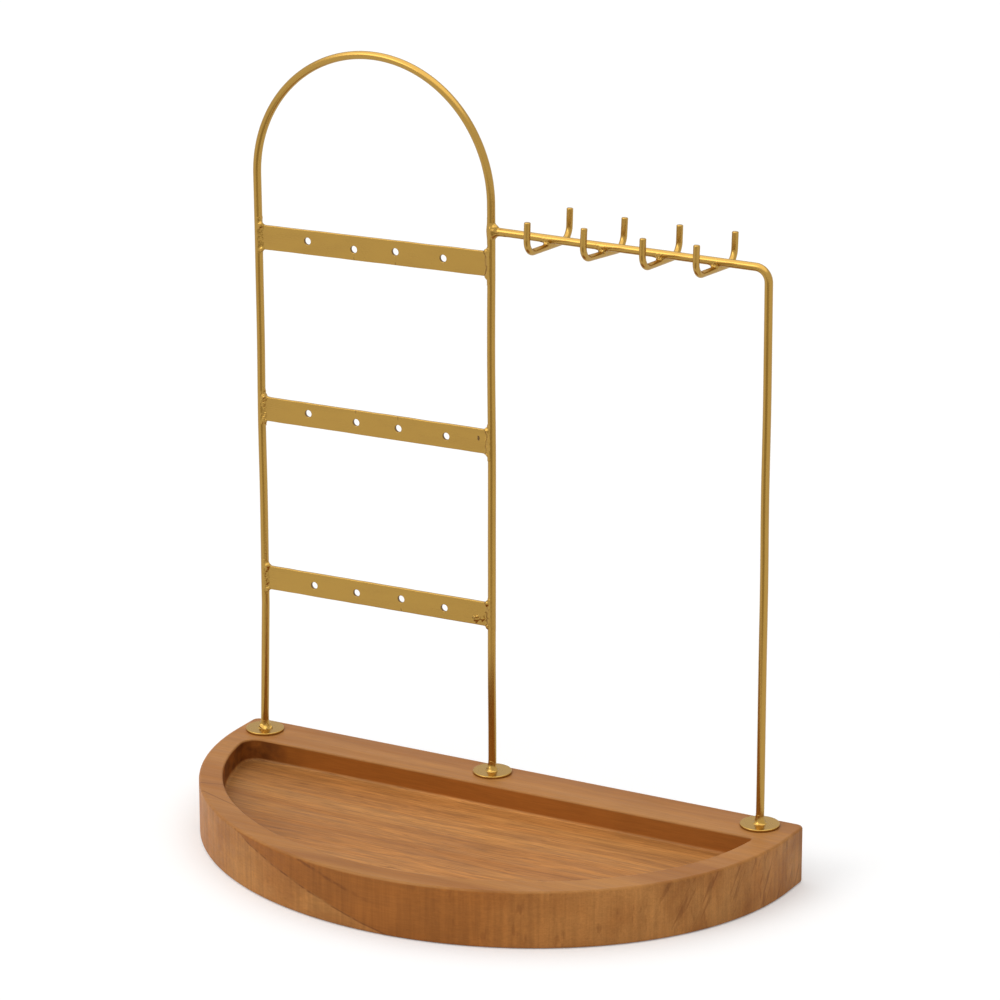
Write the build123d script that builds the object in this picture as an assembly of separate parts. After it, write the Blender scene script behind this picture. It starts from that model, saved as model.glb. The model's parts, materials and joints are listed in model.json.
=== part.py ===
from build123d import *
import os

# Jewelry stand: a half-moon wooden tray that carries a welded wire frame. An arch holds three
# drilled bars for earrings, and an arm beside it carries four U hooks for necklaces.
# Sizes are in millimetres. +Z is up and +Y is the straight back edge.
# The origin is the middle of the base's underside.

# Wooden base
base_width = 240.0
base_depth = 120.6
base_thickness = 22.0
side_length = 14.0  # straight part of each end, before the elliptical front
back_corner_radius = 3.0
top_edge_round = 1.0
bottom_edge_round = 0.8

# Tray pocket routed into the base
rim_width = 10.0
back_rim_width = 21.0
pocket_depth = 8.7
pocket_shift = 1.0  # from the middle of the base towards the left leg
pocket_left_corner_radius = 6.0
pocket_right_corner_radius = 1.5
pocket_cove_radius = 1.2
pocket_mouth_round = 0.6

# Where the legs stand on the base
leg_setback = 8.4  # from the back edge to the plane of the wires
left_leg_inset = 10.7
leg_spacing = 101.0
right_leg_inset = 14.7
left_foot_lead = 2.1  # how far the left foot stands in front of the other two
lean_clearance = 5.45  # from the bottom bar's welds down to where that leg starts to lean
lean_bend_radius = 60.0

# Frame wires, with heights above the top of the base
wire_diameter = 3.1
plating_thickness = 0.05
arch_spring_height = 223.8  # where the arch's round top starts
arm_drop = 10.2  # from that height down to the arm's bar
arm_bend_radius = 5.2

# Earring bars
bar_height = 9.5
bar_thickness = 1.2
top_bar_drop = 23.6  # from the arch's spring height to the top bar
bar_pitch = 68.4
holes_per_bar = 4
hole_pitch = 19.7
hole_row_shift = 0.85  # from the bar's middle towards the arm
earring_hole_diameter = 2.8

# Necklace hooks
hook_count = 4
hook_wire_diameter = 2.5
hook_reach = 15.6  # from the bar's axis to the axis of each upright
hook_rise = 8.6  # from the bar's axis to the cut ends
hook_tilt = 3.0  # degrees, front end up
hook_bend_radius = 5.2
first_hook_margin = 23.8  # from the middle leg to the first hook
last_hook_margin = 21.4  # from the last hook to the right leg
wire_end_chamfer = 0.25

# Foot discs and welds
disc_diameter = 15.0
disc_thickness = 1.0
disc_edge_round = 0.25
slip_clearance = 0.05  # a disc slid onto its leg
foot_weld_spread = 1.1  # from the leg out onto its disc
foot_weld_climb = 3.6  # from the disc up the leg
foot_weld_hollow_radius = 5.0
weld_lip = 0.2  # thickness left at a weld's thin edges
bar_weld_radius = 1.4
bar_weld_overrun = 1.2  # past a bar's upper and lower edge
hook_weld_radius = 2.0
hook_weld_gap = 0.2  # filled by the weld between bar and hook
arm_weld_radius = 2.6

# Nuts and washers under the base
nut_across_flats = 5.5
nut_height = 2.4
nut_chamfer = 0.35
thread_clearance = 0.05
thread_end_length = 1.5  # of thread standing out of a tightened nut
thread_end_chamfer = 0.4
washer_diameter = 7.0
washer_thickness = 0.5
washer_clearance = 0.1
leg_hole_clearance = 0.3
socket_clearance = 1.5  # round a washer, for the nut driver
counterbore_depth = 6.5

# Worked out from the sizes above
half_width = base_width / 2
back_y = base_depth / 2
leg_y = back_y - leg_setback
left_x = left_leg_inset - half_width
middle_x = left_x + leg_spacing
right_x = half_width - right_leg_inset
left_foot_y = leg_y - left_foot_lead
foot_places = {"left": (left_x, left_foot_y), "middle": (middle_x, leg_y), "right": (right_x, leg_y)}

wire_radius = wire_diameter / 2
thread_radius = wire_radius - plating_thickness
spring_z = base_thickness + arch_spring_height
arm_z = spring_z - arm_drop
top_bar_z = spring_z - top_bar_drop
bar_places = {
    "top": top_bar_z,
    "middle": top_bar_z - bar_pitch,
    "bottom": top_bar_z - 2 * bar_pitch,
}
bar_middle_x = (left_x + middle_x) / 2
first_hole_x = bar_middle_x + hole_row_shift - hole_pitch * (holes_per_bar - 1) / 2

hook_radius = hook_wire_diameter / 2
hook_pitch = (right_x - middle_x - first_hook_margin - last_hook_margin) / (hook_count - 1)
hook_places = [middle_x + first_hook_margin + index * hook_pitch for index in range(hook_count)]
hook_drop = wire_radius + hook_weld_gap + hook_radius

washer_low_z = counterbore_depth - washer_thickness
nut_low_z = washer_low_z - nut_height
thread_low_z = nut_low_z - thread_end_length
disc_top_z = base_thickness + disc_thickness
foot_weld_top_z = disc_top_z + foot_weld_climb

lean_high_z = bar_places["bottom"] - bar_height / 2 - bar_weld_overrun - lean_clearance
lean_height = lean_high_z - base_thickness
lean_room = (lean_high_z - foot_weld_top_z) / 4  # the most that the lower bend may take up
lean_bend = min(lean_bend_radius, lean_room * lean_height / left_foot_lead)
lean_low_z = foot_weld_top_z + lean_bend * left_foot_lead / lean_height

FROM_LOW = (Align.CENTER, Align.CENTER, Align.MIN)


def half_moon(across, deep):
    """Face with a straight back edge, two short straight ends and a half-elliptical front."""
    front_deep = deep - side_length
    back_edge = Line((-across, 0), (across, 0))
    right_end = Line((across, 0), (across, -side_length))
    front = EllipticalCenterArc((0, -side_length), across, front_deep, 0, arc_size=-180)
    left_end = Line((-across, -side_length), (-across, 0))
    return make_face(back_edge + right_end + front + left_end)


def pocket_outline():
    """The half-moon one rim inside the base's outline, cut straight behind the back rim."""
    outline = half_moon(half_width - rim_width, base_depth - rim_width)
    back_rim = Rectangle(base_width, back_rim_width, align=(Align.CENTER, Align.MAX))
    outline -= back_rim
    left_corner, right_corner = outline.vertices().group_by(Axis.Y)[-1].sort_by(Axis.X)
    outline = fillet(right_corner, pocket_right_corner_radius)
    left_corner = outline.vertices().sort_by_distance(left_corner)[0]
    return Pos(-pocket_shift, 0, 0) * fillet(left_corner, pocket_left_corner_radius)


def wood_base():
    """Board with rounded edges, a pocket with a coved floor, and a counterbored hole for each leg."""
    outline = half_moon(half_width, base_depth)
    back_corners = outline.vertices().group_by(Axis.Y)[-1]
    board = extrude(fillet(back_corners, back_corner_radius), base_thickness)
    board = fillet(board.faces().sort_by(Axis.Z)[-1].edges(), top_edge_round)
    board = fillet(board.faces().sort_by(Axis.Z)[0].edges(), bottom_edge_round)

    floor_z = base_thickness - pocket_depth
    pocket = Pos(0, 0, floor_z) * extrude(pocket_outline(), pocket_depth)
    pocket = fillet(pocket.faces().sort_by(Axis.Z)[0].edges(), pocket_cove_radius)
    board -= pocket
    top_face = board.faces().filter_by(GeomType.PLANE).sort_by(Axis.Z)[-1]
    board = fillet(top_face.inner_wires()[0].edges(), pocket_mouth_round)

    board = Pos(0, back_y, 0) * board
    hole = Cylinder(thread_radius + leg_hole_clearance, base_thickness, align=FROM_LOW)
    seat = Cylinder(washer_diameter / 2 + socket_clearance, counterbore_depth, align=FROM_LOW)
    for x, y in foot_places.values():
        board -= Pos(x, y, 0) * (hole + seat)
    return board


def round_wire(path, radius):
    """Round wire of the given radius along a path."""
    section = Plane(origin=path @ 0, z_dir=path % 0) * Circle(radius)
    return sweep(section, path=path)


def leg_thread(x, y):
    """Threaded end of a leg, from the foot disc's underside to just past its nut."""
    length = base_thickness - thread_low_z
    thread = Cylinder(thread_radius, length, align=FROM_LOW)
    thread = chamfer(thread.edges().sort_by(Axis.Z)[0], thread_end_chamfer)
    return Pos(x, y, thread_low_z) * thread


def arch_wire():
    """Inverted U: two legs joined by a half circle, the left one leaning forward, with both ends threaded."""
    top = (bar_middle_x, leg_y, spring_z + leg_spacing / 2)
    path = FilletPolyline(
        (left_x, left_foot_y, base_thickness),
        (left_x, left_foot_y, lean_low_z),
        (left_x, leg_y, lean_high_z),
        (left_x, leg_y, spring_z),
        radius=lean_bend,
    )
    path += ThreePointArc((left_x, leg_y, spring_z), top, (middle_x, leg_y, spring_z))
    path += Line((middle_x, leg_y, spring_z), (middle_x, leg_y, base_thickness))
    return round_wire(path, wire_radius) + leg_thread(left_x, left_foot_y) + leg_thread(middle_x, leg_y)


def straight_leg(x):
    """The plain cylinder of a leg, used to notch what is welded against it."""
    return Pos(x, leg_y, base_thickness) * Cylinder(wire_radius, arch_spring_height, align=FROM_LOW)


def arm_wire():
    """Inverted L: a bar notched to fit the middle leg, a bend, and the threaded right leg."""
    path = FilletPolyline(
        (middle_x, leg_y, arm_z),
        (right_x, leg_y, arm_z),
        (right_x, leg_y, base_thickness),
        radius=arm_bend_radius,
    )
    wire = round_wire(path, wire_radius) - straight_leg(middle_x)
    return wire + leg_thread(right_x, leg_y)


def bar_blank(z):
    """Strip between the axes of the arch's legs, before its ends are notched."""
    return Pos(bar_middle_x, leg_y, z) * Box(leg_spacing, bar_thickness, bar_height)


def earring_bar(z):
    """Flat strip with a row of round holes, notched at both ends to fit the legs."""
    bar = bar_blank(z)
    for x in (left_x, middle_x):
        bar -= straight_leg(x)
    hole = Rotation(90, 0, 0) * Cylinder(earring_hole_diameter / 2, 2 * bar_thickness)
    for index in range(holes_per_bar):
        bar -= Pos(first_hole_x + index * hole_pitch, leg_y, z) * hole
    return bar


def bar_weld(z):
    """Two upright beads, one round each end of a strip, less the strip and the legs."""
    beads = []
    end_round = min(bar_weld_radius, bar_weld_overrun) - weld_lip
    for x, inward in ((left_x, 1), (middle_x, -1)):
        bead = Cylinder(bar_weld_radius, bar_height + 2 * bar_weld_overrun)
        bead = fillet(bead.edges().filter_by(GeomType.CIRCLE), end_round)
        bead = Pos(x + inward * wire_radius, leg_y, z) * bead
        beads.append(bead - straight_leg(x) - bar_blank(z))
    return beads


def hook_place(x):
    """Where a hook's own frame lies: on the bar's axis, tilted about it."""
    return Pos(x, leg_y, arm_z) * Rotation(-hook_tilt, 0, 0)


def necklace_hook(x):
    """U of thin wire across the arm's bar, both ends turned up and cut flat."""
    path = FilletPolyline(
        (0, -hook_reach, hook_rise),
        (0, -hook_reach, -hook_drop),
        (0, hook_reach, -hook_drop),
        (0, hook_reach, hook_rise),
        radius=hook_bend_radius,
    )
    hook = round_wire(path, hook_radius)
    cut_ends = hook.faces().filter_by(GeomType.PLANE)
    return hook_place(x) * chamfer(cut_ends.edges(), wire_end_chamfer)


def arm_bar():
    """The straight run of the arm, used to groove what is welded to it."""
    run = right_x - middle_x
    return Pos(middle_x, leg_y, arm_z) * Rotation(0, 90, 0) * Cylinder(wire_radius, run, align=FROM_LOW)


def hook_weld(x):
    """Blob between the bar and a hook, grooved by both."""
    blob = Pos(0, 0, -wire_radius - hook_weld_gap / 2) * Sphere(hook_weld_radius)
    hook_run = Pos(0, 0, -hook_drop) * Rotation(90, 0, 0) * Cylinder(hook_radius, 2 * hook_reach)
    return hook_place(x) * (blob - hook_run) - arm_bar()


def arm_weld():
    """Collar where the arm's bar meets the middle leg, less both wires."""
    collar = Pos(middle_x + wire_radius, leg_y, arm_z) * Sphere(arm_weld_radius)
    return collar - straight_leg(middle_x) - arm_bar()


def foot_disc(x, y):
    """Flat round plate with eased edges and a hole for its leg."""
    disc = Cylinder(disc_diameter / 2, disc_thickness, align=FROM_LOW)
    disc = fillet(disc.edges().filter_by(GeomType.CIRCLE), disc_edge_round)
    disc -= Cylinder(wire_radius + slip_clearance, disc_thickness, align=FROM_LOW)
    return Pos(x, y, base_thickness) * disc


def foot_weld(x, y):
    """Tall flared ring with a hollow profile between a leg and its disc."""
    inner_top = (wire_radius, foot_weld_top_z)
    inner_low = (wire_radius, disc_top_z)
    outer_low = (wire_radius + foot_weld_spread, disc_top_z)
    outer_lip = (wire_radius + foot_weld_spread, disc_top_z + weld_lip)
    inner_lip = (wire_radius + weld_lip, foot_weld_top_z)
    straight_sides = Polyline(inner_lip, inner_top, inner_low, outer_low, outer_lip)
    hollow = RadiusArc(outer_lip, inner_lip, foot_weld_hollow_radius)
    ring = revolve(Plane.XZ * make_face(straight_sides + hollow), Axis.Z)
    return Pos(x, y, 0) * ring


def leg_washer(x, y):
    """Plain washer against the roof of a counterbore."""
    washer = Cylinder(washer_diameter / 2, washer_thickness, align=FROM_LOW)
    washer -= Cylinder(thread_radius + washer_clearance, washer_thickness, align=FROM_LOW)
    return Pos(x, y, washer_low_z) * washer


def leg_nut(x, y):
    """Hexagon nut with its corners turned down at both ends."""
    blank = extrude(RegularPolygon(nut_across_flats / 2, 6, major_radius=False), nut_height)
    corner_radius = nut_across_flats / 3**0.5
    turned = Cylinder(corner_radius, nut_height, align=FROM_LOW)
    turned = chamfer(turned.edges().filter_by(GeomType.CIRCLE), nut_chamfer)
    nut = blank & turned
    nut -= Cylinder(thread_radius + thread_clearance, nut_height, align=FROM_LOW)
    return Pos(x, y, nut_low_z) * nut


def all_nodes():
    """Every piece of the stand by its node name."""
    nodes = {"wood_base": wood_base(), "arch_wire": arch_wire(), "arm_wire": arm_wire()}
    for name, z in bar_places.items():
        nodes[f"earring_bar_{name}"] = earring_bar(z)
        nodes[f"bar_weld_{name}"] = Compound(children=bar_weld(z))
    for number, x in enumerate(hook_places, start=1):
        nodes[f"necklace_hook_{number}"] = necklace_hook(x)
        nodes[f"hook_weld_{number}"] = hook_weld(x)
    nodes["arm_weld"] = arm_weld()
    for name, place in foot_places.items():
        nodes[f"foot_disc_{name}"] = foot_disc(*place)
        nodes[f"foot_weld_{name}"] = foot_weld(*place)
    nodes["leg_washers"] = Compound(children=[leg_washer(*place) for place in foot_places.values()])
    nodes["leg_nuts"] = Compound(children=[leg_nut(*place) for place in foot_places.values()])
    return nodes


os.makedirs("parts", exist_ok=True)
for node_name, shape in all_nodes().items():
    export_step(shape, f"parts/{node_name}.step")
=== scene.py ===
import json
import math

import bmesh
import bpy
import numpy as np
from bpy.props import FloatProperty, FloatVectorProperty, PointerProperty
from mathutils import Matrix, Vector


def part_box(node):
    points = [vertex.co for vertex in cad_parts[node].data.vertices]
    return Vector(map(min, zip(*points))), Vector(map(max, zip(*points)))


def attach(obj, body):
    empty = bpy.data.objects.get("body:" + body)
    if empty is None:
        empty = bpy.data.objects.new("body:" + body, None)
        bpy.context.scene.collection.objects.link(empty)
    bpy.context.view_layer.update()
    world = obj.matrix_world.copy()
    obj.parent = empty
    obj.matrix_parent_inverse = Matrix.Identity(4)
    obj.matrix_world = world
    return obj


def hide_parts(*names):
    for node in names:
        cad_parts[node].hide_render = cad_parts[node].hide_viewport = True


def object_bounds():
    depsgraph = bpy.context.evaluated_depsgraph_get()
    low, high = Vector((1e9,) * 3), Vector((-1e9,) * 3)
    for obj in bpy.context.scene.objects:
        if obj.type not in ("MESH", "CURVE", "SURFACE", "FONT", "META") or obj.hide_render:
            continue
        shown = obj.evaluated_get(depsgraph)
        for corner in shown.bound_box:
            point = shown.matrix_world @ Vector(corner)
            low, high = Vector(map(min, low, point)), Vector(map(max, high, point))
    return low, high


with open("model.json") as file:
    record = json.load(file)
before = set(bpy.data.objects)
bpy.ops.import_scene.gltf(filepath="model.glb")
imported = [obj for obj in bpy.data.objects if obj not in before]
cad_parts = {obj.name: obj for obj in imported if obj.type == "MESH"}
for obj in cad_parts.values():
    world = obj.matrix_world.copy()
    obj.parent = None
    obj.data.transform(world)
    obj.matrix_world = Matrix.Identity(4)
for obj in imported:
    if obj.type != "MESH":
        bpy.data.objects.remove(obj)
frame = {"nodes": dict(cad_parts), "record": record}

# Looks of a jewelry stand: an oiled half-moon tray that carries a frame of satin brass wire.
# Lengths are in metres, in the frame's own axes: +Z is up and +Y is the straight back edge.

bl_info = {
    "name": "Jewelry stand",
    "version": (1, 0, 0),
    "blender": (4, 5, 0),
    "location": "3D View > Sidebar > Stand",
    "description": "Dresses a wooden jewelry stand and its brass wire frame",
    "category": "Object",
}

MILLIMETRE = 0.001

# Places read from the frame
BAR_NAMES = ("top", "middle", "bottom")
LEG_NAMES = ("left", "middle", "right")
HOOK_NUMBERS = (1, 2, 3, 4)
CAD_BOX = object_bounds()
BOARD_LOW, BOARD_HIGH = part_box("wood_base")
ARCH_LOW, ARCH_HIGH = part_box("arch_wire")
ARM_LOW, ARM_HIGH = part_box("arm_wire")
NUT_LOW, NUT_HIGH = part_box("leg_nuts")
WASHER_LOW, WASHER_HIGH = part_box("leg_washers")
DISC_BOXES = {leg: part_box(f"foot_disc_{leg}") for leg in LEG_NAMES}
BAR_BOXES = {bar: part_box(f"earring_bar_{bar}") for bar in BAR_NAMES}
HOOK_BOXES = {number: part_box(f"necklace_hook_{number}") for number in HOOK_NUMBERS}
MOUNTS = {mount["name"]: mount for mount in frame["record"]["mounts"]}

# Worked out from those places
FOOT_PLACES = {leg: ((low.x + high.x) / 2, (low.y + high.y) / 2) for leg, (low, high) in DISC_BOXES.items()}
LEG_X = {leg: x for leg, (x, _) in FOOT_PLACES.items()}
LEG_Y = FOOT_PLACES["middle"][1]
DISC_LOW, DISC_HIGH = DISC_BOXES["middle"]
DISC_RADIUS = (DISC_HIGH.x - DISC_LOW.x) / 2
WIRE_RADIUS = (ARM_HIGH.y - ARM_LOW.y) / 2
THREAD_LENGTH = DISC_LOW.z - ARCH_LOW.z
ARCH_AXIS_Z = ARCH_HIGH.z - WIRE_RADIUS
ARM_Z = ARM_HIGH.z - WIRE_RADIUS
BAR_MIDDLES = {bar: np.array((low + high) / 2) for bar, (low, high) in BAR_BOXES.items()}
HOOK_X = {number: (low.x + high.x) / 2 for number, (low, high) in HOOK_BOXES.items()}
HOOK_RADIUS = (HOOK_BOXES[1][1].x - HOOK_BOXES[1][0].x) / 2
HOLE_RADIUS = MOUNTS["earring_holes_top_inner"]["dims"]["hole_r_mm"] * MILLIMETRE

# How the hand-made frame departs from the even pattern, in millimetres and degrees
STRIP_TILTS = {"top": 1.0, "middle": 0.5, "bottom": 0.5}
HOOK_DEPARTURES = {
    1: {"sideways": 0.0, "front": 0.5, "back": 1.2, "rise": 0.2, "tilt": 0.0},
    2: {"sideways": 0.0, "front": 0.0, "back": 0.9, "rise": 0.0, "tilt": 2.4},
    3: {"sideways": 0.8, "front": -0.9, "back": -0.8, "rise": -0.3, "tilt": 0.0},
    4: {"sideways": 0.0, "front": 0.2, "back": 0.0, "rise": -0.1, "tilt": 0.6},
}
HOLE_DEPARTURES = {
    "top": ((0.2, 0.5), (0.8, -0.6), (-0.9, 0.4), (0.0, 0.1)),
    "middle": ((-0.6, 0.6), (0.9, -0.1), (-0.3, 0.0), (0.8, -0.2)),
    "bottom": ((0.9, -0.2), (0.2, -0.3), (0.3, 0.3), (-0.4, -0.3)),
}

# How rough each strip's welds and each foot's weld are, as shares of the usual lump
STRIP_WELD_LUMPS = {"top": 0.6, "middle": 1.2, "bottom": 0.7}
FOOT_LUMPS = {"left": 2.2, "middle": 1.1, "right": 0.4}

# Drops on a strip's face: their places and radius in millimetres, how many times they are flattened and drawn
# tall, and how much heat tint and stain they have
DROPS = {
    "top": (),
    "middle": (
        {"from_leg": 3.8, "up": 0.9, "radius": 0.5, "flat": 6.0, "tall": 2.2, "heat": 0.0, "stain": 0.85},
    ),
    "bottom": (
        {"from_leg": 5.3, "up": -2.3, "radius": 1.3, "flat": 3.0, "tall": 1.1, "heat": 1.0, "stain": 0.0},
        {"from_leg": 2.4, "up": -1.9, "radius": 1.0, "flat": 3.0, "tall": 1.2, "heat": 0.9, "stain": 0.0},
    ),
}

# Which holes have a scribed tick, counted from the left, and whether it is above (1) or below (-1) them
SCRIBE_TICKS = {"top": (-1, (1, 2)), "middle": (1, (1, 2)), "bottom": (-1, (2,))}

# Seeds of the uneven fields
SEEDS = {
    "foot_swell": 11,
    "foot_lump": 12,
    "strip_weld": 21,
    "strip_grit": 22,
    "arm_weld": 31,
    "wire_sway": 40,
    "hook_weld": 41,
    "drop": 51,
    "upper_edge": 60,
    "lower_edge": 70,
    "bow": 80,
}


def size(name, description, default):
    """A length that a user may change, in metres."""
    return FloatProperty(
        name=name,
        description=description,
        default=default,
        min=0,
        precision=5,
        unit="LENGTH",
        subtype="DISTANCE",
    )


def share(name, description, default):
    """A plain number that a user may change."""
    return FloatProperty(name=name, description=description, default=default, precision=3)


def angle(name, description, degrees):
    """An angle that a user may change."""
    return FloatProperty(
        name=name, description=description, default=math.radians(degrees), unit="ROTATION", subtype="ANGLE"
    )


def colour(name, description, *screen):
    """A colour that a user may change, given as red, green and blue from 0 to 255 on a screen.

    The standard curve of screens, straight near black and a power above it, gives the light itself.
    """
    values = np.array(screen) / 255
    straight = values / 12.92
    curved = ((values + 0.055) / 1.055) ** 2.4
    light = np.where(values <= 0.04045, straight, curved)
    return FloatVectorProperty(
        name=name, description=description, default=light.tolist(), size=3, min=0, max=1, subtype="COLOR"
    )


class StandSizes(bpy.types.PropertyGroup):
    """Sizes of the brass frame and of the tray that their boxes don't give."""

    arm_bend: size("Arm bend", "Radius of the arm's bend at the wire's axis", 0.0052)
    hook_bend: size("Hook bend", "Radius of a hook's bends at its axis", 0.0052)
    hook_reach: size("Hook reach", "From the arm's axis to the axis of a hook's upright", 0.0156)
    hook_rise: size("Hook rise", "From the arm's axis to a hook's cut ends", 0.0086)
    hook_tilt: angle("Hook tilt", "Turn of the hooks about the arm, front end up", 3.0)
    weld_gap: size("Weld gap", "Between the arm and a hook, filled by the weld", 0.0002)
    cut_chamfer: size("Cut chamfer", "Eased edge of a cut wire end", 0.00025)
    wire_sway: size("Wire sway", "How far the hand-bent wires stray from their true line", 0.00008)
    thread_radius: size("Thread radius", "Of the threaded leg ends", 0.0015)
    thread_pitch: size("Thread pitch", "Rise of the thread in one turn", 0.0005)
    thread_depth: size("Thread depth", "From the thread's crest to its root", 0.00027)
    strip_edge: size("Strip edge", "Rounding of a strip's long edges", 0.00022)
    hole_lip: size("Hole lip", "Rounding of the earring holes", 0.00018)
    strip_waver: size("Strip waver", "Unevenness of the strips' sheared edges", 0.00003)
    disc_edge: size("Disc edge", "Rounding of the foot discs", 0.00030)
    strip_blend: size("Strip weld", "Width over which a strip's weld runs out", 0.0015)
    arm_blend: size("Arm weld", "Width over which the arm's weld runs out", 0.0030)
    hook_blend: size("Hook weld", "Width over which a hook's weld runs out", 0.0019)
    weld_lump: size("Weld lump", "Height of the lumps on a weld", 0.00012)
    weld_nugget: size("Weld nugget", "Radius of the beads at a strip's corners", 0.0009)
    foot_flare: size("Foot flare", "How far a leg's weld spreads on its disc", 0.0013)
    foot_climb: size("Foot climb", "How far a leg's weld climbs up the leg", 0.0036)
    lean_low: size("Lean low", "Height at which the left leg starts to lean back", 0.0290)
    lean_high: size("Lean high", "Height at which the left leg is in line with the others", 0.0740)
    rim_width: size("Rim width", "Of the tray's rim", 0.0100)
    back_rim: size("Back rim", "From the board's back edge to the tray", 0.0210)
    tray_depth: size("Tray depth", "From the rim down to the tray's floor", 0.0087)
    side_length: size("Side length", "Straight part of the board's ends", 0.0140)


class StandColours(bpy.types.PropertyGroup):
    """Colours of the wood, the metals and the stage."""

    wood_pale: colour("Pale wood", "Paler bands of the board", 180, 124, 66)
    wood_brown: colour("Brown wood", "Browner bands of the board", 158, 101, 48)
    wood_heart: colour("Heartwood", "The darker middle of the board's side", 150, 90, 36)
    # Painted shade: this darker colour of the tray's walls stands in for the shade inside the tray.
    wall_shade_colour: colour("Tray wall", "The tray's walls, burnished by the cutter", 161, 94, 32)
    # Also the colour of the painted shade in the tray's left corner.
    wood_dark: colour("Dark wood", "Growth lines, checks and burnt spots", 100, 53, 20)
    pore: colour("Pore", "Open pores along the grain", 96, 52, 22)
    brass: colour("Brass", "Clean satin brass", 172, 133, 52)
    brass_dull: colour("Dull brass", "Brass where the plating has dulled", 148, 110, 42)
    brass_edge: colour("Brass edge", "What brass mirrors at a glancing angle", 210, 196, 172)
    heat_tint: colour("Heat tint", "Coppery bloom beside a weld", 226, 160, 112)
    stain: colour("Stain", "Brown flux stain on a strip", 84, 54, 24)
    zinc: colour("Zinc", "Zinc plating of the nuts and washers", 186, 190, 192)
    floor: colour("Floor", "The pale studio floor", 240, 240, 240)
    card: colour("Card", "The grey card in front of the stand", 198, 190, 176)


class StandStage(bpy.types.PropertyGroup):
    """Camera, lights, floor and card."""

    camera_place: FloatVectorProperty(
        name="Camera place",
        description="Where the camera stands",
        default=(0.7684, -1.3464, 0.6421),
        size=3,
        unit="LENGTH",
        subtype="TRANSLATION",
    )
    camera_azimuth: angle("Camera azimuth", "From straight in front, to the right", 28.938)
    camera_elevation: angle("Camera elevation", "Above the horizon", 17.703)
    camera_roll: angle("Camera roll", "Turn about the line of sight", 0.114)
    camera_lens: share("Camera lens", "Focal length in millimetres on a 36 mm sensor", 160.83)
    key_azimuth: angle("Key azimuth", "Of the broad overhead light, from straight in front", -40.0)
    key_elevation: angle("Key elevation", "Of the broad overhead light, above the horizon", 80.0)
    key_spread: angle("Key spread", "Angle across the broad overhead light", 100.0)
    key_strength: share("Key strength", "Light of the overhead lamp on a surface that faces it", 2.10)
    front_azimuth: angle("Front azimuth", "Of the smaller front light, from straight in front", -32.0)
    front_elevation: angle("Front elevation", "Of the smaller front light, above the horizon", 32.0)
    front_spread: angle("Front spread", "Angle across the smaller front light", 32.0)
    front_strength: share("Front strength", "Light of the front lamp on a surface that faces it", 0.58)
    sky_strength: share("Sky strength", "Even light from all round", 0.26)
    floor_lift: share("Floor lift", "What the floor needs to look white", 0.16)
    floor_radius: size("Floor radius", "Of the round floor", 9.0)
    card_near: size("Card near edge", "From the stand's middle to the card", 0.20)
    card_far: size("Card far edge", "From the stand's middle to the card's end", 1.5)
    card_left: angle("Card left side", "Azimuth of the card's left side", -20.0)
    card_right: angle("Card right side", "Azimuth of the card's right side", 46.0)


# Surfaces as grids of points

MERGE_GAP = 1e-7  # points nearer than this become one


def stacked(*parts):
    """The parts of points or other vectors, spread to one shape and set side by side."""
    return np.stack(np.broadcast_arrays(*parts), axis=-1)


def full_turn(count):
    """Even angles round one full turn."""
    return np.linspace(0, 2 * math.pi, count, endpoint=False)


def about_axis(place, radius, turn, height):
    """Points at a radius and a turn about an upright axis, at the given height."""
    x, y = place
    return stacked(x + radius * np.cos(turn), y + radius * np.sin(turn), height)


def grid_faces(rows, columns, wrap_rows, wrap_columns):
    """Corner numbers of the quads between neighbouring grid points; a wrapped side joins last to first."""
    row = np.arange(rows if wrap_rows else rows - 1)[:, None]
    column = np.arange(columns if wrap_columns else columns - 1)[None, :]
    next_row = (row + 1) % rows
    next_column = (column + 1) % columns
    corners = stacked(
        row * columns + column,
        row * columns + next_column,
        next_row * columns + next_column,
        next_row * columns + column,
    )
    return corners.reshape(-1, 4)


def fan_faces(ring_start, columns, centre):
    """Corner numbers of the triangles between one ring of points and a centre point."""
    column = np.arange(columns)
    return stacked(ring_start + column, ring_start + (column + 1) % columns, centre)


def grid_shell(points, wrap_rows, wrap_columns):
    """Vertices and faces of a grid; one that is wrapped both ways is closed, like a turned ring."""
    rows, columns = points.shape[:2]
    return points.reshape(-1, 3), grid_faces(rows, columns, wrap_rows, wrap_columns).tolist()


def closed_tube(points):
    """Vertices and faces of a grid whose columns run round, with both end rings closed to their middles."""
    rows, columns = points.shape[:2]
    count = rows * columns
    vertices, faces = grid_shell(points, False, True)
    middles = points[[0, -1]].mean(axis=1)
    faces += fan_faces(0, columns, count).tolist()
    faces += fan_faces(count - columns, columns, count + 1).tolist()
    return np.concatenate([vertices, middles]), faces


def joined(*shells):
    """Vertices and faces of several shells as one list, with the later faces' corners counted on."""
    vertices = []
    faces = []
    count = 0
    for shell_vertices, shell_faces in shells:
        vertices.append(shell_vertices)
        faces += [[corner + count for corner in face] for face in shell_faces]
        count += len(shell_vertices)
    return np.concatenate(vertices), faces


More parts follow.
